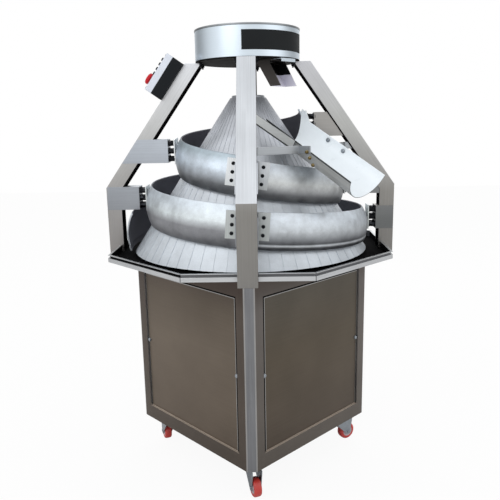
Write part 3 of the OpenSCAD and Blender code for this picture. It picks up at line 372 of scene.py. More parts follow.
# sand-cast aluminium of the track, mottled, in lit and shaded copies, one for each kind of stretch: the
# level, painted highlight and painted shade colours and the spans over which they change
castTones = {
    "sandCastAluminium": ("#c6cbcf", "#d3dae1", "#7a7c80", (0.05, 0.4), (0.08, -0.27)),
    "sandCastAluminiumLeft": ("#dee5e8", "#cdd5dc", "#98999d", (0.15, 0.4), (0.15, -0.06)),
    "sandCastAluminiumRight": ("#d9dcdc", "#d3dae1", "#96989b", (0.05, 0.4), (0.08, -0.27)),
    "sandCastAluminiumTop": ("#d0dae4", "#a9b5bd", "#94979b", (0.25, 0.42), (0.16, -0.20)),
}
castAluminium = {name: castMetal(name, *tones, 0.50, blotchSize=35.0, blotch=0.18, raisedFrom=raisedFrom,
                                 hangingFrom=hangingFrom)
                 for name, (*tones, raisedFrom, hangingFrom) in castTones.items()}
# painted shade on the side of the track that looks at the cone
trackInsideShade = moulded("paintedTrackInsideShade", "#68686f", 0.60, ior=1.3)
# turned aluminium of the cone, with painted shade darker towards the top
coneAluminium = castMetal("turnedAluminium", [
    (765, "#cfd6dd"), (880, "#dae1e8"), (1060, "#d8dde4"), (1190, "#ccd0d7"), (1285, "#a3a6ac")],
    "#a9abb0", "#6a6a6d", 0.44, metallic=0.45, raisedFrom=(0.8, 0.95))
# zinc plated pressed steel, cool and slightly cloudy
zincSteel = castMetal("zincPlatedSteel", "#959ba1", "#bcc2c8", "#5b6064", 0.40, blotchSize=18.0)
# yellow passivated zinc on the chute's bolts
yellowZinc = castMetal("yellowZincSteel", "#8d7c50", "#c2b083", "#54472a", 0.42, blotchSize=6.0)
# black oxide on nuts and bolts: dark, a little oily
blackOxide = castMetal("blackOxideSteel", "#232427", "#3a3c40", "#131416", 0.42, blotchSize=8.0)
# machined shaft steel, fine and clean
shaftSteel = castMetal("machinedSteel", "#9c9fa3", "#b9bcc0", "#77797c", 0.32, grit=1.4)
# blue-grey enamel on the cast gearbox and motor
driveEnamel = castMetal("castIronEnamel", "#4a5d6e", "#63788a", "#33424f", 0.45, metallic=0.0)
# black under the drum painted for the shade there, and dark enamel on the stirrer motor
blackEnamelAndShade = moulded("paintedShadeAndBlackEnamel", "#100e0d", 0.70, ior=1.15)
# white enamelled inside of the chute, smooth and glossy
whiteEnamel = moulded("whiteEnamelSheet", "#f3faff", 0.30, grain=3.0, blotch=0.02, coat=0.3)
# bare outside of the chute, dull with broad lines
chuteSteel = groundSteel("dullStainlessChute", "#c8c9c7", "#d0d1cf", "#c2c3c1", 0.42, lineWidth=9.0,
                         lineLength=500.0, stroke=0.16, metallic=0.4)
# cut edges of thin sheet in their own shade, and strips of painted shade under the chute's near rim and along
# the blade's lower edge
cutEdge = moulded("shadedSheetEdge", "#4b4c4e", 0.60, ior=1.2)
# moulded ABS of the control box and its buttons, matt on the black, smoother on the pale and the red
blackAbs = moulded("blackAbs", "#13171b", 0.55, ior=1.25)
paleAbs = moulded("paleGreyAbs", "#e3e9f4", 0.42, blotch=0.03)
redAbs = moulded("redAbs", "#c4202a", 0.40, ior=1.3)
# cast polyurethane tyre with a soft shine, and dull nylon hub of the castors
redPolyurethane = moulded("redPolyurethane", "#c23a33", 0.42, coat=0.2)
paleNylon = moulded("paleNylon", "#c2b8bc", 0.45)
# black lacquered aluminium plate, slightly dusty
blackLacquer = moulded("blackLacquer", "#191c1e", 0.55, blotch=0.12, ior=1.25)
print("materials made:", len(bpy.data.materials))


# fills the UV map the ground finishes read: u along the lines, v across them, in metres
def layGrain(mesh, flow):
    layer = mesh.uv_layers.new(name="grain")
    for face in mesh.polygons:
        along = flow(face.center, face.normal)
        along = along - face.normal * along.dot(face.normal)
        if along.length < 1e-3:
            along = face.normal.orthogonal()
        along.normalize()
        across = face.normal.cross(along)
        for loop in face.loop_indices:
            point = mesh.vertices[mesh.loops[loop].vertex_index].co
            layer.data[loop].uv = (point.dot(along), point.dot(across))


def upFlow(center, normal):
    return upward


def levelFlow(center, normal):
    return upward.cross(normal) if abs(normal.z) < 0.9 else Vector((-center.y, center.x, 0))


# angles in degrees up to which a piece is shaded smooth
smoothAngles = {"sheet": 12.0, "fastener": 30.0, "turned": 38.0, "cast": 40.0}


def finishPiece(piece, finish, body, slot, replaced=(), smooth=smoothAngles["turned"]):
    if not piece.data.materials:
        for material in finish if isinstance(finish, list) else [finish]:
            piece.data.materials.append(material)
    piece.data.shade_smooth()
    piece.data.set_sharp_from_angle(angle=math.radians(smooth))
    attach(piece, body)
    if replaced:
        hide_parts(*replaced)


def newPiece(name, shape):
    mesh = bpy.data.meshes.new(name)
    shape.to_mesh(mesh)
    shape.free()
    return addObject(name, mesh)


# how the sheets' edges are rounded; sizes in mm, angles in degrees
folds = {"merge": 0.01, "flatAngle": 0.3, "bend": 2.6, "sharpAngle": 32.0}


# a copy of a CAD node with its edges rounded, in mm, and cut along its seams. A rule may pick the finish of
# each face, another may name bends that are rounded wider and given a painted highlight
def roundedCopy(node, finish, fold, flow=upFlow, pick=None, bends=None, seams=()):
    shape = bmesh.new()
    shape.from_mesh(cadNodes[node].data)
    bmesh.ops.remove_doubles(shape, verts=shape.verts, dist=folds["merge"] * mm)
    bmesh.ops.dissolve_limit(shape, angle_limit=math.radians(folds["flatAngle"]), verts=shape.verts,
                             edges=shape.edges)
    for face in shape.faces:
        face.material_index = 0
    if bends:
        wide = [e for e in shape.edges if len(e.link_faces) == 2 and bends(e)]
        bmesh.ops.bevel(shape, geom=wide, offset=folds["bend"] * mm, segments=3, profile=0.5, affect="EDGES",
                        clamp_overlap=True, material=1)
    least = math.radians(folds["sharpAngle"])
    sharp = [e for e in shape.edges if len(e.link_faces) == 2 and e.calc_face_angle() > least]
    bmesh.ops.bevel(shape, geom=sharp, offset=fold * mm, segments=2, profile=0.6, affect="EDGES",
                    clamp_overlap=True)
    for place, way in seams:
        bmesh.ops.bisect_plane(shape, geom=shape.verts[:] + shape.edges[:] + shape.faces[:],
                               plane_co=place * mm, plane_no=way)
    if pick:
        for face in shape.faces:
            if face.material_index == 0:
                face.material_index = pick(face.calc_center_median() / mm, face.normal)
    piece = newPiece(node + "_finished", shape)
    layGrain(piece.data, flow)
    finishPiece(piece, finish, bodyOf[node], slotOf[node], [node], smoothAngles["sheet"])


# a round piece turned about an axis through a place: profile of (radius, height) in mm, bands of finishes
def turnedPiece(name, profile, place, axis, finish, body, slot, replaced, steps=48, bands=None):
    shape = bmesh.new()
    rings = []
    for radius, height in profile:
        ring = [unit(360 * k / steps) * radius + upward * height for k in range(steps if radius else 1)]
        rings.append([shape.verts.new(spot * mm) for spot in ring])
    for row, (low, high) in enumerate(zip(rings, rings[1:])):
        for k in range(steps):
            n = (k + 1) % steps
            quad = [low[k % len(low)], low[n % len(low)], high[n % len(high)], high[k % len(high)]]
            distinct = list(dict.fromkeys(quad))
            if len(distinct) > 2:
                shape.faces.new(distinct).material_index = bands[row] if bands else 0
    bmesh.ops.remove_doubles(shape, verts=shape.verts, dist=folds["merge"] * mm)
    bmesh.ops.recalc_face_normals(shape, faces=shape.faces)
    turn = axis.to_track_quat("Z", "Y").to_matrix().to_4x4()
    bmesh.ops.transform(shape, matrix=Matrix.Translation(place * mm) @ turn, verts=shape.verts)
    finishPiece(newPiece(name, shape), finish, body, slot, replaced)


# bent channel posts, in mm
postSlope = {
    "reach": 500.0,
    "topReach": 210.0,
    "bend": 980.0,
    "bendSoft": 10.0,
    "top": 1392.0,
    "depth": 50.0,
    "sheet": 2.5,
    "insideHalf": 26.6,
    "edge": 4.5,
}
postTilt = math.atan2(postSlope["reach"] - postSlope["topReach"], postSlope["top"] - postSlope["bend"])


def postFlow(center, normal):
    if center.z < (postSlope["bend"] - postSlope["bendSoft"]) * mm:
        return upward
    out = max((unit(plan) for plan in cornerPlans.values()), key=lambda way: way.dot(center))
    return upward * math.cos(postTilt) - out * math.sin(postTilt)


# 1 for painted shade inside a post's channel and on a strip along the edge of its slanted stretch
def postFace(center, normal):
    out, across = max(abs(center.x), abs(center.y)), min(abs(center.x), abs(center.y))
    above = max(center.z - postSlope["bend"], 0)
    under = postSlope["reach"] - math.tan(postTilt) * above - out
    edge = above > 0 and under * math.cos(postTilt) > postSlope["depth"] - postSlope["edge"]
    inside = across < postSlope["insideHalf"] and under > postSlope["sheet"]
    return 1 if edge or inside else 0


# cuts at a post's bend and along the edge of its slanted stretch
def postSeams(plan):
    out = unit(plan)
    way = out * math.cos(postTilt) + upward * math.sin(postTilt)
    top = out * postSlope["topReach"] + upward * postSlope["top"]
    return [(upward * postSlope["bend"], upward), (top - way * (postSlope["depth"] - postSlope["edge"]), way)]


# how far out the frame's sides lie, and below what height its upper faces are ledges, in mm
frameLines = {"outer": 292.0, "ledge": 200.0}


# 2 on a slanted corner face, 4 on the right sides' lit copy, 5 on a lower ledge's painted highlight, 1 on an
# outer side of an opening with a painted highlight, 3 on its other sides with painted shade
def frameFace(center, normal):
    if max(abs(normal.x), abs(normal.y)) > 0.98 and normal.dot(center) > 0:
        return 2
    side = max((unit(plan) for plan in sidePlans.values()), key=lambda way: way.dot(center))
    if normal.dot(side) > 0.7 and side.dot(center) > frameLines["outer"]:
        return 4 if side.x > 0 else 0
    if abs(normal.z) < 0.3 and abs(center.x) > abs(center.y):
        return 1
    return 5 if normal.z > 0.7 and center.z < frameLines["ledge"] else 3


# the bends beside a slanted corner face, on the outside
def cornerBend(edge):
    ways = sorted(max(abs(f.normal.x), abs(f.normal.y)) for f in edge.link_faces)
    outside = all(f.normal.dot(f.calc_center_median()) > 0 for f in edge.link_faces)
    return outside and ways[1] > 0.98 and 0.6 < ways[0] < 0.8


# the panels' outlines, in mm from their edges: a painted shadow line at the top and sides, a painted
# highlight line inside it
panelLines = {"topGap": 7.0, "innerGap": 10.5, "outerGap": 2.0, "bright": 2.4}


# a panel's cuts, and the rule that gives 1 for the painted shadow in its gap, 2 for the painted highlight
# line, 3 for the painted highlight along its foot
def panelRule(node, plan, spec):
    points = [v.co / mm for v in cadNodes[node].data.vertices]
    out, across = unit(plan), unit(plan + 90)
    wide, face = max(across.dot(p) for p in points), max(out.dot(p) for p in points)
    high, low = max(p.z for p in points), min(p.z for p in points)
    bright, top = spec["bright"], spec["topGap"]
    gaps = (spec["outerGap"], spec["innerGap"])
    cuts = [(across * way * (wide - gap - more), across)
            for way in (-1, 1) for gap in gaps for more in (0, bright)]
    cuts += [(upward * level, upward) for level in (high - top, high - top - bright, low + bright)]

    def pick(center, normal):
        if normal.dot(out) < 0.9 or out.dot(center) < face - 1:
            return 0
        aside = wide - abs(across.dot(center)) - gaps[abs(center.y) > abs(center.x)]
        under = high - center.z - top
        if aside < 0 or under < 0:
            return 1
        if center.z < low + bright:
            return 3
        return 2 if aside < bright or under < bright else 0

    return cuts, pick


# heights of the tray's floor and of the lip's underside, reach of its corner seams, groove and inner wall,
# and half the width of a seam, in mm
trayLines = {"floor": 757.0, "lip": 760.0, "corner": 440.0, "groove": 455.0, "wall": 463.0, "seam": 1.6}
traySides = [unit(45 * k) for k in range(8)]
trayCorners = [unit(112.5 + 45 * k) for k in range(4)]
traySeams = [(way * shift, way) for way in trayCorners for shift in (-trayLines["seam"], trayLines["seam"])]


# 1 for painted shade on the tray's floor and inner side, 2 in its groove and in the seams at its corners
def trayFace(center, normal):
    way = max(traySides, key=lambda side: side.dot(center))
    reach = way.dot(center)
    if normal.z > 0.9 and center.z < trayLines["floor"]:
        return 1
    if reach > trayLines["corner"] and min(abs(turn.dot(center)) for turn in trayCorners) < trayLines["seam"]:
        return 2
    # painted shade: the groove takes the darkest finish on the left and the far right
    groove = 1 if way.x < -0.3 or way.x > 0.9 else 2  # darker on the left and the far right
    if abs(normal.z) < 0.5 and (normal.dot(way) < 0 or reach < trayLines["wall"]):
        return groove if reach > trayLines["groove"] else 1
    return groove if normal.z < -0.5 and reach > trayLines["groove"] and center.z > trayLines["lip"] else 0


# the chute's line falls from the axis; sizes in mm, angles in degrees
chuteLine = {"height": 1297.0, "plan": -45.0, "slope": -28.5, "middle": -4.0, "centre": 22.0, "shadeStrip": 5.0}
chuteTop = upward * chuteLine["height"]
chuteAlong = unit(chuteLine["plan"], chuteLine["slope"])
chuteAcross = unit(chuteLine["plan"] + 90)
chuteUp = chuteAlong.cross(chuteAcross)
chuteShadeLine = chuteTop - chuteUp * chuteLine["shadeStrip"]


def chuteFlow(center, normal):
    return chuteAlong


# 1 outside the trough, 2 on its cut ends, near rim and the strip of painted shade under that
def chuteFace(center, normal):
    spot = center - chuteTop
    near = spot.dot(chuteAcross) < chuteLine["middle"] and chuteUp.dot(center - chuteShadeLine) > 0
    if abs(normal.dot(chuteAlong)) > 0.9 or near and normal.dot(chuteUp) > 0.9:
        return 2
    aside, above = chuteLine["middle"] - spot.dot(chuteAcross), chuteLine["centre"] - spot.dot(chuteUp)
    if normal.dot(chuteAcross * aside + chuteUp * above) > 10:
        return 0
    return 2 if near else 1


# the blade's flat, its upper edge and the top of the strip of painted shade along the lower one
bladeMesh = cadNodes["chute_deflector"].data
bladeFlat = max(bladeMesh.polygons, key=lambda face: face.area).normal.copy()
bladeUp = max(bladeMesh.polygons, key=lambda face: face.normal.dot(chuteUp)).normal.copy()
bladeShadeLine = min(bladeUp.dot(v.co) for v in bladeMesh.vertices) / mm + chuteLine["shadeStrip"]


# 1 on the blade's edges and on the strip of painted shade along its lower edge
def bladeFace(center, normal):
    return 0 if abs(normal.dot(bladeFlat)) > 0.9 and bladeUp.dot(center) > bladeShadeLine else 1


# flour lies near the spout's mouth; heights and half width in mm
spoutMouth = {"flour": 1345.0, "top": 1378.0, "half": 36.5}
spoutSeams = [(upward * spoutMouth[level], upward) for level in ("flour", "top")]


# inside of the spout: 1 where flour lies, 2 further up in painted shade
def spoutFace(center, normal):
    inside = abs(chuteAcross.dot(center)) < spoutMouth["half"] and center.z < spoutMouth["top"]
    floor = normal.dot(unit(chuteLine["plan"])) > 0.3
    cheek = abs(normal.dot(chuteAcross)) > 0.9 and normal.dot(chuteAcross) * chuteAcross.dot(center) < 0
    if not inside or not (floor or cheek):
        return 0
    return 1 if center.z < spoutMouth["flour"] else 2


frameFinish = [frameSteel, foldHighlight, cornerSteel, recessSteel, rightFrameSteel, ledgeHighlight]
roundedCopy("corner_uprights", frameFinish, 0.6, pick=frameFace, bends=cornerBend)
roundedCopy("frame_rails", frameFinish, 0.6, levelFlow, frameFace)
roundedCopy("catch_tray", [traySteel, trayShade, grooveSteel], 0.5, levelFlow, trayFace, seams=traySeams)
for side, plan in sidePlans.items():
    panelSeams, panelFace = panelRule("panel_" + side, plan, panelLines)
    sheet = rightPanelSteel if "right" in side else panelSteel
    roundedCopy("panel_" + side, [sheet, panelGapShadow, foldHighlight, ledgeHighlight], 0.7, levelFlow, panelFace,
                seams=panelSeams)
for corner, plan in cornerPlans.items():
    sheet = leftPostSteel if corner == "left" else postSteel
    roundedCopy("post_" + corner, [sheet, postChannelShade], 1.0, postFlow, postFace, seams=postSeams(plan))
    sheet = clampSteel if corner in ("front", "left") else bracketSteel
    roundedCopy("brackets_" + corner, sheet, 0.6, levelFlow)
    roundedCopy("castor_fork_" + corner, zincSteel, 0.6)
roundedCopy("outlet_chute", [whiteEnamel, chuteSteel, cutEdge], 0.6, chuteFlow, chuteFace,
            seams=[(chuteShadeLine, chuteUp)])
roundedCopy("chute_deflector", [bladeSteel, cutEdge], 0.6, levelFlow, bladeFace,
            seams=[(bladeUp * bladeShadeLine, bladeUp)])
roundedCopy("flour_spout", [spoutSteel, spoutFloor, trayShade], 0.5, pick=spoutFace, seams=spoutSeams)

# nodes of one finish: the finish, the rounding of their edges in mm, and the way their lines run
plainNodes = {
    "floor_plate": (frameSteel, 0.5, levelFlow),
    "deck_plate": (frameSteel, 0.6, levelFlow),
    "castor_plates": (zincSteel, 0.6, upFlow),
    "track_saddles": (saddleSteel, 0.6, upFlow),
    "chute_supports": (barSteel, 0.6, levelFlow),
    "flour_gate": (drumSteel, 0.5, levelFlow),
    "hopper_shell": (drumSteel, 0.5, levelFlow),
    "hopper_lid": (lidSteel, 1.2, levelFlow),
    "hopper_base": (blackEnamelAndShade, 0.8, upFlow),
    "control_box": (blackAbs, 1.6, upFlow),
    "control_lid": (paleAbs, 1.6, upFlow),
}
for node, (finish, fold, flow) in plainNodes.items():
    roundedCopy(node, finish, fold, flow)
print("sheet metal rounded")

# the spiral wall follows one rule round the cone; all sizes in mm, angles in degrees
spiral = {
    "Start height": 771.0,
    "First rise": 21.0,
    "Pitch": 123.5,
    "Pitch gain": 74.0,
    "Swing": 13.0,
    "Swing turn": 272.0,
    "Lead": 14.0,
    "Flare": 6.0,
    "Flare turn": 60.0,
    "Wall height": 130.0,
    "Wall loss": 10.0,
    "Whole turn": 906.0,
    "Gap": 9.0,
    "Bow": 15.5,
    "Lean": 7.0,
    "Cone top radius": 56.0,
    "Cone top height": 1285.0,
    "Cone taper": 349.0 / 520.0,
    "Lip": 3.0,
    "Lip share": 0.14,
    "Lip steepness": 30.0,
    "stretches": [(-13.9, 89.9), (90.1, 269.9), (270.1, 449.9), (450.1, 629.9), (630.1, 905.9)],
    "stepAngle": 2.0,
    "stepsUp": 33,
    "lowWall": 112.0,
    "lowStretches": (2, 4),
    "plainStretches": (3, 4, 5),
    "metals": ("", "", "Left", "Right", "Top"),
    "wall": 6.0,
    "edge": 1.6,
    "edgeAngle": 50.0,
}
# every step of the rule: result, operation, values
spiralRule = [
    ("share", "ADD", "gridX", 0.5),
    ("rise", "ADD", "gridY", 0.5),
    ("span", "SUBTRACT", "To", "From"),
    ("angle", "MULTIPLY_ADD", "span", "share", "From"),
    ("firstPart", "MINIMUM", "angle", 180.0),
    ("firstShare", "DIVIDE", "firstPart", 180.0),
    ("firstFoot", "MULTIPLY_ADD", "firstShare", "First rise", "Start height"),
    ("later", "SUBTRACT", "angle", "firstPart"),
    ("laterTurns", "DIVIDE", "later", 360.0),
    ("halfGain", "MULTIPLY", "Pitch gain", 0.5),
    ("evenPitch", "SUBTRACT", "Pitch", "halfGain"),
    ("pitchNow", "MULTIPLY_ADD", "halfGain", "laterTurns", "evenPitch"),
    ("evenFoot", "MULTIPLY_ADD", "laterTurns", "pitchNow", "firstFoot"),
    ("swingFrom", "SUBTRACT", 180.0, "Swing turn"),
    ("swingAt", "ADD", "swingFrom", "later"),
    ("swingFromRad", "RADIANS", "swingFrom"),
    ("swingAtRad", "RADIANS", "swingAt"),
    ("swingLow", "SINE", "swingFromRad"),
    ("swingNow", "SINE", "swingAtRad"),
    ("swung", "SUBTRACT", "swingNow", "swingLow"),
    ("foot", "MULTIPLY_ADD", "swung", "Swing", "evenFoot"),
    ("flareLeft", "SUBTRACT", "Flare turn", "angle"),
    ("flareOn", "MAXIMUM", "flareLeft", 0.0),
    ("flareSpan", "ADD", "Flare turn", "Lead"),
    ("flareShare", "DIVIDE", "flareOn", "flareSpan"),
    ("flareSquare", "MULTIPLY", "flareShare", "flareShare"),
    ("along", "DIVIDE", "angle", "Whole turn"),
    ("loss", "MULTIPLY", "along", "Wall loss"),
    ("wallHeight", "SUBTRACT", "Wall height", "loss"),
    ("below", "SUBTRACT", "Cone top height", "foot"),
    ("coneRadius", "MULTIPLY_ADD", "below", "Cone taper", "Cone top radius"),
    ("closeRadius", "ADD", "coneRadius", "Gap"),
    ("footRadius", "MULTIPLY_ADD", "flareSquare", "Flare", "closeRadius"),
    ("leanIn", "MULTIPLY", "rise", "Lean"),
    ("leaned", "SUBTRACT", "footRadius", "leanIn"),
    ("rest", "SUBTRACT", 1.0, "rise"),
    ("hump", "MULTIPLY", "rise", "rest"),
    ("fullBow", "MULTIPLY", "Bow", 4.0),
    ("bowed", "MULTIPLY_ADD", "hump", "fullBow", "leaned"),
    ("lipLeft", "SUBTRACT", "Lip share", "rise"),
    ("lipSteep", "MULTIPLY", "lipLeft", "Lip steepness"),
    ("lipCapped", "MINIMUM", "lipSteep", 1.0),
    ("lipOn", "MAXIMUM", "lipCapped", 0.0),
    ("radius", "MULTIPLY_ADD", "lipOn", "Lip", "bowed"),
    ("plan", "SUBTRACT", 180.0, "angle"),
    ("turn", "RADIANS", "plan"),
    ("cosine", "COSINE", "turn"),
    ("sine", "SINE", "turn"),
    ("xMm", "MULTIPLY", "radius", "cosine"),
    ("yMm", "MULTIPLY", "radius", "sine"),
    ("zMm", "MULTIPLY_ADD", "rise", "wallHeight", "foot"),
    ("x", "MULTIPLY", "xMm", mm),
    ("y", "MULTIPLY", "yMm", mm),
    ("z", "MULTIPLY", "zMm", mm),
]


# a tree with a geometry in and out and its own named inputs
def newTree(name, sockets):
    tree = bpy.data.node_groups.new(name, "GeometryNodeTree")
    tree.interface.new_socket("Geometry", in_out="INPUT", socket_type="NodeSocketGeometry")
    tree.interface.new_socket("Geometry", in_out="OUTPUT", socket_type="NodeSocketGeometry")
    for label, kind in sockets:
        tree.interface.new_socket(label, in_out="INPUT", socket_type="NodeSocket" + kind)
    return tree, addNode(tree, "NodeGroupInput").outputs


# ends a tree: plain mesh, one finish
def closeTree(tree, last, finish):
    whole = addNode(tree, "GeometryNodeRealizeInstances", {"Geometry": last})
    dressed = addNode(tree, "GeometryNodeSetMaterial", {"Geometry": whole, "Material": finish})
    addNode(tree, "NodeGroupOutput", (dressed,))


def makeSpiralTree(spec):
    labels = ["From", "To"] + [k for k in spec if k[0].isupper()]
    tree, given = newTree("spiralWall", [(k, "Float") for k in labels] + [
        ("Steps along", "Int"), ("Steps up", "Int"), ("Finish", "Material")])
    grid = addNode(tree, "GeometryNodeMeshGrid", {
        "Size X": 1.0, "Size Y": 1.0, "Vertices X": given["Steps along"], "Vertices Y": given["Steps up"]})
    place = addNode(tree, "ShaderNodeSeparateXYZ", (addNode(tree, "GeometryNodeInputPosition"),)).outputs
    values = {k: given[k] for k in labels}
    values.update({"gridX": place["X"], "gridY": place["Y"]})
    for result, operation, *terms in spiralRule:
        terms = [values.get(term, term) for term in terms]
        values[result] = addNode(tree, "ShaderNodeMath", terms, operation=operation)
    point = addNode(tree, "ShaderNodeCombineXYZ", (values["x"], values["y"], values["z"]))
    moved = addNode(tree, "GeometryNodeSetPosition", {"Geometry": grid, "Position": point})
    closeTree(tree, moved, given["Finish"])
    return tree


# puts a tree on an object and fills its inputs by the sockets' identifiers
def addTree(host, tree, inputs):
    modifier = host.modifiers.new(tree.name, "NODES")
    modifier.node_group = tree
    for item in tree.interface.items_tree:
        if item.in_out == "INPUT" and item.name in inputs:
            modifier[item.identifier] = inputs[item.name]


# turns the evaluated result into the object's own plain mesh
def settle(host):
    bpy.context.view_layer.update()
    graph = bpy.context.evaluated_depsgraph_get()
    mesh = bpy.data.meshes.new_from_object(host.evaluated_get(graph))
    for k in reversed(range(len(mesh.materials))):
        if mesh.materials[k] is None:
            mesh.materials.pop(index=k)
    host.modifiers.clear()
    host.data = mesh


# paints shade on the faces that look at the cone
def shadeTrackInside(host):
    shape = bmesh.new()
    shape.from_mesh(host.data)
    bmesh.ops.recalc_face_normals(shape, faces=shape.faces)
    for face in shape.faces:
        center = face.calc_center_median()
        outward = Vector((center.x, center.y, 0)).normalized()
        face.material_index = 1 if face.normal.dot(outward) < -0.4 else 0
    shape.to_mesh(host.data)
    shape.free()
    host.data.materials.append(trackInsideShade)


def makeTrack(spec):
    tree = makeSpiralTree(spec)
    for number, (start, end) in enumerate(spec["stretches"], 1):
        node = f"track_segment_{number}"
        metal = castAluminium["sandCastAluminium" + spec["metals"][number - 1]]
        host = addObject(node + "_cast", bpy.data.meshes.new(node + "_cast"))
        inputs = {k: v for k, v in spec.items() if k[0].isupper()}
        inputs.update({"From": start, "To": end, "Steps along": int((end - start) / spec["stepAngle"]) + 1,
                       "Steps up": spec["stepsUp"], "Finish": metal})
        if number in spec["lowStretches"]:
            inputs.update({"Wall height": spec["lowWall"], "Wall loss": 0.0})
        if number in spec["plainStretches"]:
            inputs["Lip"] = 0.0
        addTree(host, tree, inputs)
        wall = host.modifiers.new("wall", "SOLIDIFY")
        wall.thickness = spec["wall"] * mm
        wall.offset = 0
        edge = host.modifiers.new("edge", "BEVEL")
        edge.width = spec["edge"] * mm
        edge.segments = 3
        edge.limit_method = "ANGLE"
        edge.angle_limit = math.radians(spec["edgeAngle"])
        settle(host)
        shadeTrackInside(host)
        finishPiece(host, metal, "base", slotOf[node], [node], smoothAngles["cast"])


makeTrack(spiral)
print("spiral track made")

# fasteners by kind: the head's number of sides, then the sizes that fastenerSizes names, in mm
fastenerSizes = ["Head radius", "Head height", "Washer radius", "Washer height", "Tip radius", "Tip height"]
fastenerKinds = {
    "studNut": (6, 9.2, 9.0, 11.0, 2.0, 4.8, 0.5),
    "plateBolt": (6, 4.9, 3.6, 5.7, 1.0, 0.6, 0.1),
    "roundHead": (20, 6.0, 2.6, 7.2, 0.8, 1.6, 0.2),
    "smallScrew": (16, 3.2, 1.6, 3.6, 0.4, 1.2, 0.1),
    "panelScrew": (20, 5.7, 3.0, 7.0, 0.6, 1.5, 0.2),
    "hangBolt": (6, 6.0, 7.0, 8.5, 1.6, 3.0, 7.0),
}
# the crown on a head, in shares of the head, and the facets of the round parts
fastenerShape = {"crownFoot": 0.985, "crownTop": 0.82, "crownHeight": 0.2, "washerSides": 20, "tipSides": 12}


# one fastener at each point, its head along the point's own direction: washer, head, crown and tip, stacked
def makeFastenerTree(spec):
    tree, given = newTree("fasteners", [(label, "Float") for label in fastenerSizes] + [
        ("Sides", "Int"), ("Seed", "Int"), ("Finish", "Material")])
    parts, foot = [], 0.0
    for part, sides in (("Washer", spec["washerSides"]), ("Head", given["Sides"]), ("Tip", spec["tipSides"])):
        radius, height = given[part + " radius"], given[part + " height"]
        solid = addNode(tree, "GeometryNodeMeshCylinder", {
            "Vertices": sides, "Radius": radius, "Depth": height})
        middle = addNode(tree, "ShaderNodeMath", (height, 0.5, foot), operation="MULTIPLY_ADD")
        foot = addNode(tree, "ShaderNodeMath", (foot, height), operation="ADD")
        parts.append((solid, middle))
        if part == "Head":
            wide, narrow, depth = [
                addNode(tree, "ShaderNodeMath", (size, spec[share]), operation="MULTIPLY")
                for size, share in ((radius, "crownFoot"), (radius, "crownTop"), (height, "crownHeight"))]
            crown = addNode(tree, "GeometryNodeMeshCone", {
                "Vertices": sides, "Radius Bottom": wide, "Radius Top": narrow, "Depth": depth})
            parts.append((crown, foot))
    whole = addNode(tree, "GeometryNodeJoinGeometry")
    for solid, level in parts:
        lift = addNode(tree, "ShaderNodeCombineXYZ", {"Z": level})
        part = addNode(tree, "GeometryNodeTransform", {"Geometry": solid, "Translation": lift})
        tree.links.new(part.outputs[0], whole.inputs[0])
    out = addNode(tree, "GeometryNodeInputNamedAttribute", {"Name": "out"}, data_type="FLOAT_VECTOR")
    aim = addNode(tree, "FunctionNodeAlignRotationToVector", {"Vector": out}, axis="Z")
    twist = addNode(tree, "FunctionNodeRandomValue", {"Max": 1.0, "Seed": given["Seed"]}, data_type="FLOAT")
    spin = addNode(tree, "FunctionNodeAxisAngleToRotation", {"Axis": (0, 0, 1), "Angle": twist.outputs[1]})
    turned = addNode(tree, "FunctionNodeRotateRotation", (aim, spin), rotation_space="LOCAL")
    placed = addNode(tree, "GeometryNodeInstanceOnPoints", {
        "Points": given["Geometry"], "Instance": whole, "Rotation": turned})
    closeTree(tree, placed, given["Finish"])
    return tree


fastenerTree = makeFastenerTree(fastenerShape)


# fasteners of one kind, at pairs of a place in mm and the way the head looks
def placeFasteners(name, kind, spots, finish, replaced=(), seed=3):
    mesh = bpy.data.meshes.new(name)
    mesh.from_pydata([place * mm for place, out in spots], [], [])
    outs = mesh.attributes.new("out", "FLOAT_VECTOR", "POINT")
    for k, (place, out) in enumerate(spots):
        outs.data[k].vector = out
    host = addObject(name, mesh)
    sides, *sizes = fastenerKinds[kind]
    inputs = {label: size * mm for label, size in zip(fastenerSizes, sizes)}
    addTree(host, fastenerTree, {**inputs, "Sides": sides, "Seed": seed, "Finish": finish})
    settle(host)
    finishPiece(host, finish, "base", "screws", replaced, smoothAngles["fastener"])


# the supports of the track: saddle bolts, stud nuts; sizes in mm, angles along the track in degrees
supports = {
    "angles": range(90, 901, 90),
    "boltedAngle": 270,
    "lift": 73.0,
    "bracketHeight": 80.0,
    "bracketSheet": 2.5,
    "bracketGap": 27.0,
    "saddleSheet": 4.0,
    "sideFit": 0.3,
    "nutGap": 1.0,
    "studGap": 32.0,
    "studRow": 26.0,
    "boltReach": 46.0,
}


# height and radius of the track's foot at an angle along it
def trackFoot(angle):
    turns = max(angle - 180, 0) / 360
    low = math.radians(180 - spiral["Swing turn"])
    swing = spiral["Swing"] * (math.sin(low + 2 * math.pi * turns) - math.sin(low))
    even = (spiral["Pitch"] - spiral["Pitch gain"] / 2) * turns + spiral["Pitch gain"] / 2 * turns ** 2
    return spiral["Start height"] + spiral["First rise"] * min(angle, 180) / 180 + even + swing


def trackRadius(angle):
    spread = (spiral["Cone top height"] - trackFoot(angle)) * spiral["Cone taper"]
    return spiral["Cone top radius"] + spread + spiral["Gap"] + spiral["wall"] / 2


# how far out a post's open side lies at a height
def postInside(height):
    if height < postSlope["bend"] - postSlope["depth"] * math.tan(postTilt / 2):
        return postSlope["reach"] - postSlope["depth"]
    drawnIn = (height - postSlope["bend"]) * math.tan(postTilt)
    return postSlope["reach"] - drawnIn - postSlope["depth"] / math.cos(postTilt)


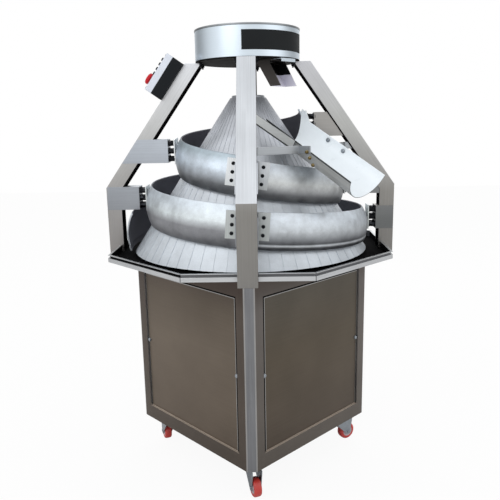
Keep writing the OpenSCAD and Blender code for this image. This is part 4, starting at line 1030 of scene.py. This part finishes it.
# a saddle lies against the track, skewed and tilted with its climb
def makeSupportFasteners(spec):
    bolts, nuts = [], []
    for angle in spec["angles"]:
        level = trackFoot(angle) + spec["lift"]
        seat = trackRadius(angle) + spiral["Bow"] - spiral["Lean"] / 2 + spec["sideFit"]
        half = spec["bracketHeight"] / 2
        inside = min(postInside(level - half), postInside(level + half))
        plate = min(seat + spec["bracketGap"], inside - spec["sideFit"] - spec["bracketSheet"])
        out = unit(180 - angle)
        across = Vector((-out.y, out.x, 0))
        degreeArc = math.radians(seat - spec["sideFit"])
        climb = math.atan((trackFoot(angle + 1) - trackFoot(angle - 1)) / 2 / degreeArc)
        skew = math.atan(spiral["Cone taper"] * math.tan(climb))
        face = out * math.cos(skew) - across * math.sin(skew)
        aside = across * math.cos(skew) + out * math.sin(skew)
        along = aside * math.cos(climb) - upward * math.sin(climb)
        rise = face.cross(along)
        middle = out * seat + upward * level + face * spec["saddleSheet"]
        for row in (-1, 0, 1):
            for side in (-1, 1):
                if angle % 360 == spec["boltedAngle"]:
                    shift = along * side * spec["boltReach"] + rise * row * spec["studRow"]
                    bolts.append((middle + shift, face))
                stud = across * side * spec["studGap"] / 2 + upward * (level + row * spec["studRow"])
                nuts.append((out * (seat + spec["saddleSheet"] + spec["nutGap"]) + stud, out))
                nuts.append((out * plate + stud, -out))
                nuts.append((out * (plate + spec["bracketSheet"]) + stud, out))
    placeFasteners("saddle_bolts", "plateBolt", bolts, blackOxide)
    placeFasteners("stud_nuts", "studNut", nuts, blackOxide, seed=5)


makeSupportFasteners(supports)

# screws of the four panels, on the middle of each upright edge; sizes in mm
panelScrews = {"across": 234.0, "level": 427.0, "out": 294.0}
placeFasteners("panel_screw_heads", "panelScrew", [
    (unit(plan) * panelScrews["out"] + unit(plan + 90) * side * panelScrews["across"]
     + upward * panelScrews["level"], unit(plan))
    for plan in sidePlans.values() for side in (-1, 1)], zincSteel, ["panel_screws"])

# bolts that hang under the drum beside each post; sizes in mm, spread in degrees
drumBolts = {"reach": 158.0, "spread": 12.0, "level": 1392.0}
placeFasteners("drum_bolts", "hangBolt", [
    (unit(plan + side * drumBolts["spread"]) * drumBolts["reach"] + upward * drumBolts["level"], -upward)
    for plan in range(0, 360, 90) for side in (-1, 1)], blackOxide)

# bolts inside the chute and on its near arm, in mm along, across and above the chute's line
chuteBolts = {
    "inside": [(332.49, 71.98, -3.01), (401.47, 71.98, -3.80)],
    "arm": [(391.28, -89.80, -4.89), (410.16, -90.01, -14.32), (430.54, -89.80, -26.81)],
}


def chuteSpots(places):
    return [(chuteTop + chuteAlong * along + chuteAcross * across + chuteUp * above, -chuteAcross)
            for along, across, above in places]


placeFasteners("chute_bolts", "roundHead", chuteSpots(chuteBolts["inside"]), zincSteel)
placeFasteners("arm_bolts", "plateBolt", chuteSpots(chuteBolts["arm"]), yellowZinc, seed=7)
print("fasteners placed")

# castor wheels: a rounded tyre on a dished hub with a boss; sizes in mm, headings in degrees
castors = {
    "reach": 330.0,
    "trail": 26.0,
    "wheel": 32.0,
    "width": 26.0,
    "axle": 5.05,
    "hubShare": 0.62,
    "headings": {"front": -70, "right": 32, "rear": 120, "left": 112},
}


def makeWheels(spec):
    r, w, hub = spec["wheel"], spec["width"] / 2, spec["hubShare"] * spec["wheel"]
    hubHalf = [(spec["axle"], w + 1.5), (9.0, w + 1.5), (10.2, w + 0.6), (10.6, w - 3.5), (12.0, w - 4.5),
               (hub - 3.2, w - 3.4), (hub - 1.4, w - 1.6)]
    tyreHalf = [(hub, w - 0.8), (hub + 0.8, w - 0.8), (hub + 1.6, w), (r - 6, w), (r - 3.2, w - 0.8),
                (r - 1.2, w - 2.8), (r - 0.2, w - 6), (r, w - 10)]
    half = hubHalf + tyreHalf
    profile = half + [(radius, -height) for radius, height in reversed(half)] + [half[0]]
    hubBands = [1] * len(hubHalf)
    bands = hubBands + [0] * (2 * len(tyreHalf) - 1) + hubBands + [1]
    for corner, plan in cornerPlans.items():
        heading = spec["headings"][corner]
        centre = unit(plan) * spec["reach"] + unit(heading) * spec["trail"] + upward * r
        node = "castor_wheel_" + corner
        turnedPiece(node + "_tyre", profile, centre, unit(heading + 90), [redPolyurethane, paleNylon],
                    "wheel_" + corner, "castor_wheel", [node], bands=bands)


makeWheels(castors)

# control box on the slanted face of the left post; places in mm down the slope, caps as pairs of radius and
# height above the lid
controls = {
    "length": 140.0,
    "gap": 4.0,
    "lidFace": 62.0,
    "stemFoot": 45.0,
    "stopPlace": 105.0,
    "stopCap": [(11, 10), (16.5, 10), (19, 10.6), (20, 12.2), (20, 15), (19.2, 18), (17, 20.4), (13, 21.8),
                (9, 22.1), (8, 21.6), (3, 21.4), (0, 21.4)],
    "buttonPlace": 26.0,
    "buttonStep": 18.0,
    "buttonCap": [(6, 11.6), (5.6, 12.6), (4.8, 13), (2.5, 12.7), (0, 12.6)],
    "screwInset": 8.0,
    "screwAside": 42.0,
}
boxOut = Vector((-math.cos(postTilt), 0, math.sin(postTilt)))
boxUp = Vector((math.sin(postTilt), 0, math.cos(postTilt)))
boxTop = Vector((-postSlope["topReach"], 0, postSlope["top"])) - boxUp * controls["gap"]


# a button's cap with the stem that carries it out of the box
def makeButton(node, part, place, cap, finish, body, slot, steps):
    stem = [(0, controls["stemFoot"]), (cap[0][0], controls["stemFoot"])]
    profile = stem + [(radius, controls["lidFace"] + height) for radius, height in cap]
    turnedPiece(node + part, profile, boxTop - boxUp * place, boxOut, finish, body, slot, [node], steps)


def makeControls(spec):
    makeButton("stop_button", "_head", spec["stopPlace"], spec["stopCap"], redAbs, "stop", "stop", 48)
    for k in range(4):
        place = spec["buttonPlace"] + spec["buttonStep"] * k
        makeButton(f"push_button_{k + 1}", "_cap", place, spec["buttonCap"], blackAbs, f"button_{k + 1}",
                   "box_base", 32)
    lidMiddle = boxTop + boxOut * spec["lidFace"]
    screws = [(lidMiddle - boxUp * along + Vector((0, side * spec["screwAside"], 0)), boxOut)
              for along in (spec["screwInset"], spec["length"] - spec["screwInset"]) for side in (-1, 1)]
    placeFasteners("lid_screws", "smallScrew", screws, zincSteel)


makeControls(controls)
print("wheels and controls made")

# bare lacquered plate bent round the drum; plan angles in degrees, sizes in mm
drumPlate = {
    "from": -94.7,
    "to": -10.0,
    "low": 1415.5,
    "high": 1474.5,
    "radius": 175.0,
    "sheet": 1.2,
    "steps": 44,
    "rows": 8,
}


def makeDrumPlate(spec):
    shape = bmesh.new()
    steps, rows = spec["steps"], spec["rows"]
    plans = [spec["from"] + (spec["to"] - spec["from"]) * i / steps for i in range(steps + 1)]
    levels = [spec["low"] + (spec["high"] - spec["low"]) * j / rows for j in range(rows + 1)]
    grid = [[shape.verts.new((unit(plan) * spec["radius"] + upward * level) * mm) for level in levels]
            for plan in plans]
    for i in range(steps):
        for j in range(rows):
            shape.faces.new((grid[i][j], grid[i + 1][j], grid[i + 1][j + 1], grid[i][j + 1]))
    bmesh.ops.recalc_face_normals(shape, faces=shape.faces)
    bmesh.ops.solidify(shape, geom=shape.faces[:], thickness=-spec["sheet"] * mm)
    bmesh.ops.recalc_face_normals(shape, faces=shape.faces)
    finishPiece(newPiece("drum_plate", shape), blackLacquer, "base", "hopper_floor")


makeDrumPlate(drumPlate)
print("drum plate made")

# CAD nodes that keep their own shape
keptFinishes = {
    "cone_shell": coneAluminium,
    "cone_cap": coneAluminium,
    "main_shaft": shaftSteel,
    "motor_rotor": shaftSteel,
    "bearing_column": driveEnamel,
    "gearbox": driveEnamel,
    "drive_motor": driveEnamel,
    "stirrer_motor": blackEnamelAndShade,
    "flour_stirrer": shaftSteel,
    "cable_gland": blackAbs,
    "track_studs": blackOxide,
}
for node, finish in keptFinishes.items():
    cadNodes[node].data.materials.clear()
    cadNodes[node].data.materials.append(finish)
print("materials given to the solids that stay")
